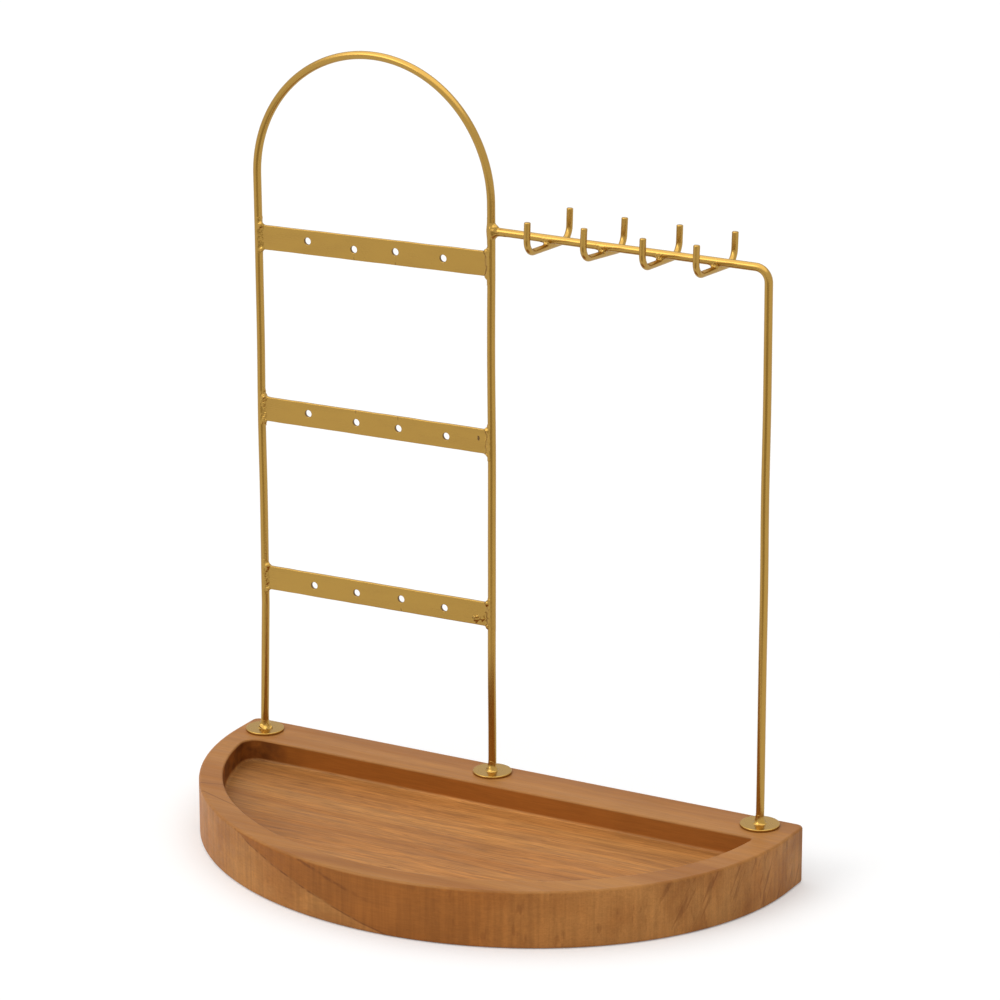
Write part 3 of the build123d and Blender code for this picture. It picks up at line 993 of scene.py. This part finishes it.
class Finish:
    """A material's node tree, grown one node at a time."""

    MIX_FACTOR, MIX_FIRST, MIX_SECOND, MIX_RESULT = 0, 6, 7, 2

    def __init__(self, name):
        self.material = bpy.data.materials.new(name)
        self.material.use_nodes = True
        self.tree = self.material.node_tree
        self.tree.nodes.clear()

    def add(self, kind, inputs, **options):
        """New node of one kind. Inputs are sockets to link or plain values, and options are its settings."""
        node = self.tree.nodes.new(kind)
        for option, value in options.items():
            setattr(node, option, value)
        for socket, value in inputs.items():
            if isinstance(value, bpy.types.NodeSocket):
                self.tree.links.new(value, node.inputs[socket])
            else:
                node.inputs[socket].default_value = value
        return node

    def object_place(self):
        """Place on the piece, in metres."""
        return self.add("ShaderNodeTexCoord", {}).outputs["Object"]

    def attribute(self, name, output):
        """A value kept at the piece's vertices."""
        return self.add("ShaderNodeAttribute", {}, attribute_name=name).outputs[output]

    def axes(self, place):
        """The three parts of a place."""
        return self.add("ShaderNodeSeparateXYZ", {0: place}).outputs

    def reckon(self, operation, first, second=0.0, third=0.0):
        """One step of arithmetic."""
        return self.add("ShaderNodeMath", {0: first, 1: second, 2: third}, operation=operation).outputs[0]

    def product(self, *factors):
        """Several values multiplied."""
        result = factors[0]
        for factor in factors[1:]:
            result = self.reckon("MULTIPLY", result, factor)
        return result

    def scaled_sum(self, value, factor, added):
        """A value times a factor, plus another value."""
        return self.reckon("MULTIPLY_ADD", value, factor, added)

    def reckon_vector(self, operation, *vectors):
        """One step of arithmetic on places."""
        return self.add("ShaderNodeVectorMath", dict(enumerate(vectors)), operation=operation).outputs[0]

    def turned_about_x(self, place, degrees):
        """Place turned about the x axis through the origin."""
        inputs = {"Vector": place, "Angle": math.radians(degrees)}
        return self.add("ShaderNodeVectorRotate", inputs, rotation_type="X_AXIS").outputs[0]

    def noise(self, place, scales, detail=3.0, roughness=0.5, output="Fac"):
        """Uneven field at the given scales per metre along the three axes."""
        stretched = self.reckon_vector("MULTIPLY", place, scales)
        inputs = {"Vector": stretched, "Scale": 1.0, "Detail": detail, "Roughness": roughness}
        return self.add("ShaderNodeTexNoise", inputs).outputs[output]

    def between(self, value, low, high, to_low=0.0, to_high=1.0):
        """Value carried from one range to another and held inside it, easing in and out."""
        inputs = {"Value": value, 1: low, 2: high, 3: to_low, 4: to_high}
        return self.add("ShaderNodeMapRange", inputs, interpolation_type="SMOOTHSTEP").outputs[0]

    def falling(self, value, low, high, full=1.0):
        """Full up to the low end of a range, and nothing from its high end on."""
        return self.between(value, low, high, full, 0.0)

    def line(self, gap, core, edge, full):
        """Thin line where a gap is near nothing: full inside its core, and fading out at its edge."""
        return self.falling(self.reckon("ABSOLUTE", gap), core, edge, full)

    def mix(self, factor, first, second, blend="MIX"):
        """Two colours mixed by a factor."""
        inputs = {self.MIX_FACTOR: factor, self.MIX_FIRST: first, self.MIX_SECOND: second}
        node = self.add("ShaderNodeMix", inputs, data_type="RGBA", blend_type=blend)
        return node.outputs[self.MIX_RESULT]

    def bump(self, height, distance, strength):
        """Surface normal tilted by a height field."""
        inputs = {"Height": height, "Distance": distance, "Strength": strength}
        return self.add("ShaderNodeBump", inputs).outputs["Normal"]

    def surface(self, **sockets):
        """Closes the tree with one principled surface and gives the material."""
        inputs = {name.replace("_", " "): value for name, value in sockets.items()}
        shader = self.add("ShaderNodeBsdfPrincipled", inputs)
        self.add("ShaderNodeOutputMaterial", {"Surface": shader.outputs[0]})
        return self.material


def opaque(colour_value):
    """A colour with full cover."""
    return (*colour_value, 1.0)


# Colours that vary a finish a little, as light from 0 to 1
ZINC_CAST = (0.55, 0.5, 0.36)
FLOOR_MOTTLE = (0.8, 0.8, 0.8)
CARD_MOTTLE = (0.06, 0.05, 0.045)

# Wood: how the growth layers and the checks in the rim run, and the ranges of x over which marks come or go
LAYER_DIP = 0.288  # fall of a growth layer along x
LAYER_SWING = 0.003  # how far a layer waves
LAYER_LEVEL = 0.0043  # height of the heartwood's edge at x = 0, before the waves lower it
SECOND_LINE = 0.0102  # from the heartwood's edge up to the second line
RIM_CHECKS = ((-0.26, -0.0155), (0.38, 0.0538))  # slope and offset of each check
CHECKS_END = (-0.080, -0.072)
# Range of x over which the painted shade in the tray's left corner fades out.
CORNER_SHADE_END = (-0.106, -0.080)
# Range of x over which the painted shade on the tray's walls weakens.
WALL_SHADE_FADE = (-0.06, 0.10)
HEART_FADE = (0.02, 0.11)
SECOND_LINE_FADE = (-0.02, 0.02)
DASHES_START = (0.0, 0.05)
STEEP_GRAIN_START = (0.080, 0.108)
STEEP_GRAIN_ANGLE = -66.0
FLOOR_SHADE_LEFT = (-0.100, -0.030)
FLOOR_SHADE_RIGHT = (0.030, 0.09)
SIDE_SHADE_LEFT = (-0.119, -0.095)


def tray_regions(finish, place, sizes):
    """Shares of the tray's floor, the tray's walls, the board's outer side and the rim, by their place.

    An ellipse along the middle of the rim parts inside from outside.
    """
    x, y, z = finish.axes(place)
    across = BOARD_HIGH.x - sizes.rim_width / 2
    ends_y = BOARD_HIGH.y - sizes.side_length
    deep = ends_y - BOARD_LOW.y - sizes.rim_width / 2
    wall_y = BOARD_HIGH.y - sizes.back_rim
    floor_z = BOARD_HIGH.z - sizes.tray_depth
    along = finish.reckon("DIVIDE", x, across)
    forward = finish.reckon("DIVIDE", finish.reckon("SUBTRACT", y, ends_y), deep)
    ring = finish.reckon("ADD", finish.product(along, along), finish.product(forward, forward))
    inside = finish.falling(ring, 0.97, 1.03)
    before_back = finish.falling(y, wall_y + 0.3 * MILLIMETRE, wall_y + 0.6 * MILLIMETRE)
    below_rim = finish.falling(z, BOARD_HIGH.z - 0.9 * MILLIMETRE, BOARD_HIGH.z - 0.3 * MILLIMETRE)
    tray = finish.product(inside, before_back, below_rim)
    wall = finish.product(tray, finish.between(z, floor_z + 0.3 * MILLIMETRE, floor_z + 1.4 * MILLIMETRE))
    floor = finish.reckon("SUBTRACT", tray, wall)
    side = finish.product(finish.reckon("SUBTRACT", 1.0, inside), below_rim)
    rim = finish.reckon("SUBTRACT", finish.reckon("SUBTRACT", 1.0, wall), finish.reckon("ADD", floor, side))
    return floor, wall, side, rim


def growth_layers(finish, place):
    """Shares of heartwood and of dark growth lines on the board's front.

    The heartwood starts at a layer that dips to the lower right and fades out to the right. A thin line marks
    the layer's edge and a broken one lies above it.
    """
    x, _, z = finish.axes(place)
    wave = finish.noise(place, (45.0, 45.0, 45.0), 2.0)
    depth = finish.scaled_sum(x, LAYER_DIP, z)
    depth = finish.reckon("ADD", depth, finish.scaled_sum(wave, LAYER_SWING, -LAYER_LEVEL))
    fading = finish.falling(x, *HEART_FADE)
    heart = finish.product(finish.between(depth, -0.4 * MILLIMETRE, 0.8 * MILLIMETRE), fading)
    line = finish.line(depth, 0.1 * MILLIMETRE, 0.6 * MILLIMETRE, 0.65)
    above = finish.reckon("SUBTRACT", depth, SECOND_LINE)
    second = finish.line(above, 0.2 * MILLIMETRE, 1.0 * MILLIMETRE, 0.5)
    second = finish.product(second, finish.falling(x, *SECOND_LINE_FADE))
    broken = finish.between(finish.noise(place, (260.0, 260.0, 260.0), 2.0), 0.35, 0.6, 0.2, 1.0)
    lines = finish.product(finish.reckon("MAXIMUM", line, second), broken, fading)
    return heart, lines


def rim_checks(finish, place):
    """Two thin dark checks that cross the left of the rim along the grain."""
    x, y, _ = finish.axes(place)
    checks = 0.0
    for slope, offset in RIM_CHECKS:
        gap = finish.reckon("ADD", finish.scaled_sum(x, slope, y), offset)
        line = finish.line(gap, 0.1 * MILLIMETRE, 0.5 * MILLIMETRE, 0.5)
        checks = finish.reckon("MAXIMUM", line, checks)
    return finish.product(checks, finish.falling(x, *CHECKS_END))


def wood_marks(finish, place, wall, side, rim):
    """Shares of the dark marks apart from the growth lines.

    They are painted shade in dark blotches on the walls of the tray's left corner, steep end grain and short
    dashes on the right of the outer side, and checks in the rim.
    """
    x = finish.axes(place)[0]
    # Painted shade: dark blotches on the walls in the tray's left corner.
    shaded = finish.between(finish.noise(place, (160.0, 160.0, 160.0), 3.0), 0.3, 0.65, 0.3, 0.95)
    shaded = finish.product(shaded, wall, finish.falling(x, *CORNER_SHADE_END))
    steep = finish.noise(finish.turned_about_x(place, STEEP_GRAIN_ANGLE), (40.0, 50.0, 480.0), 2.0, 0.5)
    steep = finish.between(steep, 0.57, 0.68, 0.0, 0.4)
    steep = finish.product(steep, finish.between(x, *STEEP_GRAIN_START), side)
    dashes = finish.between(finish.noise(place, (330.0, 330.0, 110.0), 2.0), 0.60, 0.72, 0.0, 0.3)
    dashes = finish.product(dashes, side, finish.between(x, *DASHES_START))
    return shaded, steep, dashes, finish.product(rim_checks(finish, place), rim)


def wood_shading(finish, place, regions, fields):
    """How light the wood is: a level for each region, times the swing of every uneven field.

    Each field comes with the depth of its swing everywhere, and with what the floor and the side add to it.
    """
    floor, _, side, rim = regions
    x = finish.axes(place)[0]
    left = finish.between(x, *FLOOR_SHADE_LEFT, -0.14, 0.07)
    right = finish.between(x, *FLOOR_SHADE_RIGHT, 0.0, -0.09)
    light = finish.scaled_sum(floor, finish.reckon("ADD", left, right), 1.0)
    light = finish.scaled_sum(side, finish.between(x, *SIDE_SHADE_LEFT, -0.08, 0.05), light)
    light = finish.scaled_sum(rim, -0.06, light)
    for field, everywhere, on_floor, on_side in fields:
        depth = finish.scaled_sum(floor, on_floor, everywhere)
        depth = finish.scaled_sum(side, on_side, depth)
        swing = finish.between(field, 0.28, 0.72, -1.0, 1.0)
        light = finish.product(light, finish.scaled_sum(swing, depth, 1.0))
    return finish.add("ShaderNodeCombineColor", {0: light, 1: light, 2: light}).outputs[0]


def wood_finish(colours, sizes):
    """Oiled hardwood cut from one board.

    Streaks, fine lines and pores run along x and show most on the tray's floor. The walls are darkened with
    painted shade. The outer side has upright sanding marks, growth lines on its left and steep end grain on
    its right.
    """
    finish = Finish("oiled_hardwood")
    place = finish.object_place()
    regions = tray_regions(finish, place, sizes)
    floor, wall, side, rim = regions
    bend = finish.noise(place, (7.0, 10.0, 10.0), 2.0, output="Color")
    waved = finish.reckon_vector("MULTIPLY_ADD", bend, (0.0, 0.009, 0.009), place)
    band = finish.noise(waved, (3.0, 85.0, 60.0), 3.0)
    streak = finish.noise(waved, (24.0, 420.0, 420.0), 4.0, 0.62)
    fine = finish.noise(waved, (75.0, 1500.0, 1500.0), 3.0, 0.6)
    upright = finish.noise(place, (520.0, 520.0, 30.0), 4.0, 0.65)
    patch = finish.noise(place, (26.0, 26.0, 26.0), 3.0)

    tone = finish.mix(finish.between(band, 0.30, 0.70), opaque(colours.wood_brown), opaque(colours.wood_pale))
    heart, lines = growth_layers(finish, place)
    tone = finish.mix(finish.product(heart, side, 0.95), tone, opaque(colours.wood_heart))
    # Painted shade: the tray's walls are darkened, less so towards the right.
    wall_shade = finish.product(wall, finish.between(finish.axes(place)[0], *WALL_SHADE_FADE, 0.92, 0.75))
    tone = finish.mix(wall_shade, tone, opaque(colours.wall_shade_colour))
    # The marks include the painted shade in the tray's left corner.
    for marks in (finish.product(lines, side), *wood_marks(finish, place, wall, side, rim)):
        tone = finish.mix(marks, tone, opaque(colours.wood_dark))

    fields = (
        (streak, 0.04, 0.12, 0.0),
        (fine, 0.07, 0.13, 0.0),
        (upright, 0.01, 0.0, 0.11),
        (patch, 0.05, 0.0, 0.05),
    )
    tone = finish.mix(1.0, tone, wood_shading(finish, place, regions, fields), "MULTIPLY")
    pores = finish.between(finish.noise(waved, (110.0, 1800.0, 1800.0), 1.0), 0.66, 0.74)
    pores = finish.product(pores, finish.scaled_sum(floor, 0.7, 0.3))
    tone = finish.mix(finish.product(pores, 0.5), tone, opaque(colours.pore))

    height = finish.reckon("SUBTRACT", finish.product(fine, 0.35), pores)
    height = finish.scaled_sum(finish.product(upright, side), 0.6, height)
    return finish.surface(
        Base_Color=tone,
        Roughness=finish.between(streak, 0.25, 0.75, 0.44, 0.56),
        Specular_IOR_Level=0.15,
        Normal=finish.bump(height, 0.00008, 0.3),
    )


def brass_finish(colours):
    """Satin brass plating on drawn wire.

    Fine lines follow the third axis of the piece's own coordinate. Dull patches and small specks vary the
    tone, a coppery bloom lies where a weld was hot, and stains lie where a strip keeps them.
    """
    finish = Finish("satin_brass")
    place = finish.attribute("place", "Vector")
    heat = finish.attribute("heat", "Fac")
    stain = finish.attribute("stain", "Fac")
    lines = finish.noise(place, (5200.0, 5200.0, 45.0), 3.0, 0.6)
    cloud = finish.noise(place, (240.0, 240.0, 60.0), 3.0)
    speck = finish.between(finish.noise(place, (1500.0, 1500.0, 1100.0), 1.0), 0.74, 0.82)
    dull = finish.product(finish.between(cloud, 0.40, 0.75), 0.18)
    dull = finish.reckon("MAXIMUM", dull, finish.product(speck, 0.8))
    tone = finish.mix(dull, opaque(colours.brass), opaque(colours.brass_dull))
    bloom = finish.product(heat, finish.between(cloud, 0.3, 0.65, 0.40, 0.95))
    tone = finish.mix(bloom, tone, opaque(colours.heat_tint))
    tone = finish.mix(stain, tone, opaque(colours.stain))
    rough = finish.between(lines, 0.25, 0.75, 0.23, 0.27)
    rough = finish.reckon("ADD", rough, finish.product(finish.reckon("ADD", dull, stain), 0.12))
    peel = finish.noise(place, (900.0, 900.0, 420.0), 2.0)
    height = finish.scaled_sum(lines, 0.05, peel)
    return finish.surface(
        Base_Color=tone,
        Metallic=1.0,
        Roughness=rough,
        Specular_Tint=opaque(colours.brass_edge),
        Coat_Weight=0.6,
        Coat_Roughness=0.22,
        Normal=finish.bump(height, 0.00004, 0.15),
    )


def zinc_finish(colours):
    """Bright zinc plating with a faint yellow cast and fine turning lines."""
    finish = Finish("bright_zinc")
    place = finish.attribute("place", "Vector")
    cast = finish.noise(place, (420.0, 420.0, 420.0), 2.0)
    lines = finish.noise(place, (6000.0, 6000.0, 80.0), 2.0)
    yellow = finish.between(cast, 0.35, 0.75, 0.0, 0.45)
    return finish.surface(
        Base_Color=finish.mix(yellow, opaque(colours.zinc), opaque(ZINC_CAST)),
        Metallic=1.0,
        Roughness=finish.between(lines, 0.25, 0.75, 0.28, 0.42),
        Normal=finish.bump(lines, 0.00004, 0.2),
    )


METAL_FINISHES = {"brass": ("satin_brass", brass_finish), "steel": ("bright_zinc", zinc_finish)}


def metal_finish(slot):
    """The finish that all pieces of a slot share, made the first time that one of them asks for it."""
    name, make = METAL_FINISHES[slot]
    return bpy.data.materials.get(name) or make(bpy.context.scene.stand_colours)


def seen_or_mirrored(tree):
    """1 for rays from the camera and for mirrored and refracted ones, 0 for the rays that light a surface."""
    path = tree.nodes.new("ShaderNodeLightPath")
    result = path.outputs["Is Camera Ray"]
    for name in ("Is Glossy Ray", "Is Transmission Ray"):
        larger = tree.nodes.new("ShaderNodeMath")
        larger.operation = "MAXIMUM"
        tree.links.new(result, larger.inputs[0])
        tree.links.new(path.outputs[name], larger.inputs[1])
        result = larger.outputs[0]
    return result


def floor_finish(colours, stage):
    """Pale matt floor with a faint mottle, lifted to white where it is seen, so only the shadow shows."""
    finish = Finish("pale_floor")
    mottle = finish.between(finish.noise(finish.object_place(), (3.0, 3.0, 3.0), 2.0), 0.3, 0.7, 0.0, 0.02)
    return finish.surface(
        Base_Color=finish.mix(mottle, opaque(colours.floor), opaque(FLOOR_MOTTLE)),
        Roughness=1.0,
        Specular_IOR_Level=0.0,
        Emission_Color=(1.0, 1.0, 1.0, 1.0),
        Emission_Strength=finish.product(seen_or_mirrored(finish.tree), stage.floor_lift),
    )


def card_finish(colours):
    """Grey matt card with a faint mottle."""
    finish = Finish("grey_card")
    mottle = finish.between(finish.noise(finish.object_place(), (9.0, 9.0, 9.0), 2.0), 0.3, 0.7, 0.0, 0.3)
    return finish.surface(
        Base_Color=finish.mix(mottle, opaque(colours.card), opaque(CARD_MOTTLE)),
        Roughness=1.0,
        Specular_IOR_Level=0.0,
    )


# Operators


class STAND_OT_wood_base(bpy.types.Operator):
    """Gives the wooden tray its oiled finish; its shape is the frame's own"""

    bl_idname = "stand.wood_base"
    bl_label = "Wooden tray"

    def execute(self, context):
        board = frame["nodes"]["wood_base"].data
        board.materials.clear()
        board.materials.append(wood_finish(context.scene.stand_colours, context.scene.stand_sizes))
        return {"FINISHED"}


class STAND_OT_frame_wires(bpy.types.Operator):
    """Makes the arch and the arm with their threaded ends"""

    bl_idname = "stand.frame_wires"
    bl_label = "Arch and arm"

    def execute(self, context):
        for name, make in (("arch", arch_shell), ("arm", arm_shell)):
            shell, place = make(context.scene.stand_sizes)
            add_piece(name, shell, "brass", f"{name}_wire", place, glow(shell[0], HEAT_SPREAD["wire"]))
        return {"FINISHED"}


class STAND_OT_earring_strips(bpy.types.Operator):
    """Makes the three drilled strips for earrings"""

    bl_idname = "stand.earring_strips"
    bl_label = "Earring strips"

    def execute(self, context):
        for bar in BAR_NAMES:
            shell, stain = strip_shell(context.scene.stand_sizes, bar)
            place = shell[0][:, [1, 2, 0]]
            heat = glow(shell[0], HEAT_SPREAD["strip"])
            add_piece(f"earring_strip_{bar}", shell, "brass", f"earring_bar_{bar}", place, heat, stain)
        return {"FINISHED"}


class STAND_OT_necklace_hooks(bpy.types.Operator):
    """Makes the four U hooks for necklaces"""

    bl_idname = "stand.necklace_hooks"
    bl_label = "Necklace hooks"

    def execute(self, context):
        for number in HOOK_NUMBERS:
            shell, place = hook_shell(context.scene.stand_sizes, number)
            heat = glow(shell[0], HEAT_SPREAD["wire"])
            add_piece(f"hook_{number}", shell, "brass", f"necklace_hook_{number}", place, heat)
        return {"FINISHED"}


class STAND_OT_strip_welds(bpy.types.Operator):
    """Runs a weld between each end of a strip and its leg, and sets the drops beside it"""

    bl_idname = "stand.strip_welds"
    bl_label = "Strip welds"

    def execute(self, context):
        sizes = context.scene.stand_sizes
        ends = (("left", 1), ("middle", -1))
        for bar in BAR_NAMES:
            drops = DROPS[bar]
            shells = [strip_weld_shell(sizes, bar, leg, inward) for leg, inward in ends]
            shells += [drop_shell(bar, drop) for drop in drops]
            counts = [len(vertices) for vertices, _ in shells]
            heat = np.repeat([WELD_HEAT["strip"]] * len(ends) + [drop["heat"] for drop in drops], counts)
            stain = np.repeat([0.0] * len(ends) + [drop["stain"] for drop in drops], counts)
            shell = joined(*shells)
            add_piece(f"strip_weld_{bar}", shell, "brass", f"bar_weld_{bar}", shell[0], heat, stain)
        return {"FINISHED"}


class STAND_OT_arm_weld(bpy.types.Operator):
    """Runs the weld collar where the arm meets the arch"""

    bl_idname = "stand.arm_weld"
    bl_label = "Arm weld"

    def execute(self, context):
        shell = arm_weld_shell(context.scene.stand_sizes)
        heat = np.full(len(shell[0]), WELD_HEAT["arm"])
        add_piece("arm_collar", shell, "brass", "arm_weld", shell[0], heat)
        return {"FINISHED"}


class STAND_OT_hook_welds(bpy.types.Operator):
    """Runs a weld between the arm and each hook"""

    bl_idname = "stand.hook_welds"
    bl_label = "Hook welds"

    def execute(self, context):
        for number in HOOK_NUMBERS:
            shell = hook_weld_shell(context.scene.stand_sizes, number)
            heat = np.full(len(shell[0]), WELD_HEAT["hook"])
            add_piece(f"hook_bead_{number}", shell, "brass", f"hook_weld_{number}", shell[0], heat)
        return {"FINISHED"}


class STAND_OT_feet(bpy.types.Operator):
    """Makes the foot discs and the welds that flare from the legs"""

    bl_idname = "stand.feet"
    bl_label = "Feet"

    def execute(self, context):
        sizes = context.scene.stand_sizes
        profile = plate_profile(
            WIRE_RADIUS - DISC_OVERLAP, DISC_RADIUS, DISC_LOW.z, DISC_HIGH.z, sizes.disc_edge
        )
        for leg, foot in FOOT_PLACES.items():
            plate = turned(profile, foot)
            place = turning_place(plate[0], foot)
            add_piece(f"foot_plate_{leg}", plate, "brass", f"foot_disc_{leg}", place)
            flare = foot_flare_shell(sizes, leg)
            add_piece(f"foot_flare_{leg}", flare, "brass", f"foot_weld_{leg}", flare[0])
        return {"FINISHED"}


class STAND_OT_fasteners(bpy.types.Operator):
    """Makes the nuts and washers in the tray's underside"""

    bl_idname = "stand.fasteners"
    bl_label = "Nuts and washers"

    def execute(self, context):
        sizes = context.scene.stand_sizes
        bore = sizes.thread_radius + WASHER_CLEARANCE
        radius = WASHER_HIGH.y - LEG_Y
        profile = plate_profile(bore, radius, WASHER_LOW.z, WASHER_HIGH.z, WASHER_EDGE)
        washers = joined(*[turned(profile, foot) for foot in FOOT_PLACES.values()])
        nuts = joined(*[nut_shell(sizes, foot) for foot in FOOT_PLACES.values()])
        add_piece("washers", washers, "steel", "leg_washers", washers[0])
        add_piece("nuts", nuts, "steel", "leg_nuts", nuts[0])
        return {"FINISHED"}


FLOOR_DROP = 0.0002  # from the tray's underside down to the floor
FLOOR_HUB = 0.01  # radius of the floor's innermost ring
FLOOR_RINGS = 24
FLOOR_COLUMNS = 64
CARD_LIFT = 0.0005  # from the tray's underside up to the card
CARD_ROWS = 12
CARD_COLUMNS = 24


class STAND_OT_stage(bpy.types.Operator):
    """Sets up the floor, the card, the soft light and the camera"""

    bl_idname = "stand.stage"
    bl_label = "Stage"

    def execute(self, context):
        stage = context.scene.stand_stage
        context.scene.view_settings.view_transform = "Standard"
        self.lay_floor(context, stage)
        self.lay_card(context, stage)
        self.light(context, stage)
        self.place_camera(context, stage)
        return {"FINISHED"}

    def lay(self, context, name, shell, finish):
        """Adds a shell to the scene with its finish and gives its object."""
        vertices, faces = shell
        mesh = bpy.data.meshes.new(name)
        mesh.from_pydata(vertices.tolist(), [], faces)
        mesh.materials.append(finish)
        sheet = bpy.data.objects.new(name, mesh)
        context.scene.collection.objects.link(sheet)
        return sheet

    def lay_floor(self, context, stage):
        """Round floor just under the tray: rings whose radius grows by even factors."""
        radius = np.geomspace(FLOOR_HUB, stage.floor_radius, FLOOR_RINGS)[:, None]
        points = about_axis((0, 0), radius, full_turn(FLOOR_COLUMNS), CAD_BOX[0].z - FLOOR_DROP)
        vertices = np.concatenate([points.reshape(-1, 3), points[:1].mean(axis=1)])
        faces = grid_faces(FLOOR_RINGS, FLOOR_COLUMNS, False, True)[:, ::-1].tolist()
        faces += fan_faces(0, FLOOR_COLUMNS, FLOOR_RINGS * FLOOR_COLUMNS).tolist()
        self.lay(context, "floor", (vertices, faces), floor_finish(context.scene.stand_colours, stage))

    def lay_card(self, context, stage):
        """Grey card on the floor in front: a sector of a ring about the stand's middle.

        It is out of the camera's sight, and the wires mirror it as their dark line.
        """
        radius = np.linspace(stage.card_near, stage.card_far, CARD_ROWS)[:, None]
        turn = np.linspace(stage.card_left, stage.card_right, CARD_COLUMNS)
        points = stacked(radius * np.sin(turn), -radius * np.cos(turn), CAD_BOX[0].z + CARD_LIFT)
        shell = grid_shell(points, False, False)
        card = self.lay(context, "card", shell, card_finish(context.scene.stand_colours))
        card.visible_camera = False
        card.visible_diffuse = False
        card.visible_shadow = False

    def light(self, context, stage):
        """A broad lamp overhead, a smaller one in front and an even sky, white where seen or mirrored."""
        lamps = (
            ("overhead", stage.key_strength, stage.key_spread, stage.key_azimuth, stage.key_elevation),
            ("front", stage.front_strength, stage.front_spread, stage.front_azimuth, stage.front_elevation),
        )
        for name, strength, spread, azimuth, elevation in lamps:
            data = bpy.data.lights.new(name, "SUN")
            data.energy = strength
            data.angle = spread
            lamp = bpy.data.objects.new(name, data)
            lamp.rotation_euler = direction_to(azimuth, elevation).to_track_quat("Z", "Y").to_euler()
            context.scene.collection.objects.link(lamp)

        sky = bpy.data.worlds.new("sky")
        sky.use_nodes = True
        tree = sky.node_tree
        background = tree.nodes["Background"]
        background.inputs["Color"].default_value = (1.0, 1.0, 1.0, 1.0)
        strength = tree.nodes.new("ShaderNodeMapRange")
        strength.inputs["To Min"].default_value = stage.sky_strength
        tree.links.new(seen_or_mirrored(tree), strength.inputs["Value"])
        tree.links.new(strength.outputs[0], background.inputs["Strength"])
        context.scene.world = sky

    def place_camera(self, context, stage):
        """Camera at the photograph's angle, turned by its azimuth, elevation and roll."""
        back = direction_to(stage.camera_azimuth, stage.camera_elevation)
        right = Vector((math.cos(stage.camera_azimuth), math.sin(stage.camera_azimuth), 0))
        turn = Matrix((right, back.cross(right), back)).transposed()
        data = bpy.data.cameras.new("camera")
        data.lens = stage.camera_lens
        camera = bpy.data.objects.new("camera", data)
        camera.matrix_world = (
            Matrix.Translation(stage.camera_place)
            @ turn.to_4x4()
            @ Matrix.Rotation(-stage.camera_roll, 4, "Z")
        )
        context.scene.collection.objects.link(camera)
        context.scene.camera = camera


def direction_to(azimuth, elevation):
    """Unit vector from the stand towards an azimuth, counted from straight in front, and an elevation."""
    level = math.cos(elevation)
    return Vector((math.sin(azimuth) * level, -math.cos(azimuth) * level, math.sin(elevation)))


OPERATORS = (
    STAND_OT_wood_base,
    STAND_OT_frame_wires,
    STAND_OT_earring_strips,
    STAND_OT_necklace_hooks,
    STAND_OT_strip_welds,
    STAND_OT_arm_weld,
    STAND_OT_hook_welds,
    STAND_OT_feet,
    STAND_OT_fasteners,
    STAND_OT_stage,
)


class STAND_PT_panel(bpy.types.Panel):
    """Lists the stand's pieces and its settings"""

    bl_idname = "STAND_PT_panel"
    bl_label = "Jewelry stand"
    bl_space_type = "VIEW_3D"
    bl_region_type = "UI"
    bl_category = "Stand"

    def draw(self, context):
        for operator in OPERATORS:
            self.layout.operator(operator.bl_idname)
        for settings in (context.scene.stand_sizes, context.scene.stand_colours, context.scene.stand_stage):
            box = self.layout.box()
            for name in settings.bl_rna.properties.keys():
                if name not in ("rna_type", "name"):
                    box.prop(settings, name)


CLASSES = (StandSizes, StandColours, StandStage, *OPERATORS, STAND_PT_panel)


def register():
    """Adds the classes and the scene's settings."""
    for item in CLASSES:
        bpy.utils.register_class(item)
    bpy.types.Scene.stand_sizes = PointerProperty(type=StandSizes)
    bpy.types.Scene.stand_colours = PointerProperty(type=StandColours)
    bpy.types.Scene.stand_stage = PointerProperty(type=StandStage)


def unregister():
    """Removes them again."""
    del bpy.types.Scene.stand_stage
    del bpy.types.Scene.stand_colours
    del bpy.types.Scene.stand_sizes
    for item in reversed(CLASSES):
        bpy.utils.unregister_class(item)


def main():
    """Builds every piece and the stage."""
    register()
    bpy.ops.stand.wood_base()
    bpy.ops.stand.frame_wires()
    bpy.ops.stand.earring_strips()
    bpy.ops.stand.necklace_hooks()
    bpy.ops.stand.strip_welds()
    bpy.ops.stand.arm_weld()
    bpy.ops.stand.hook_welds()
    bpy.ops.stand.feet()
    bpy.ops.stand.fasteners()
    bpy.ops.stand.stage()


if __name__ == "__main__":
    main()
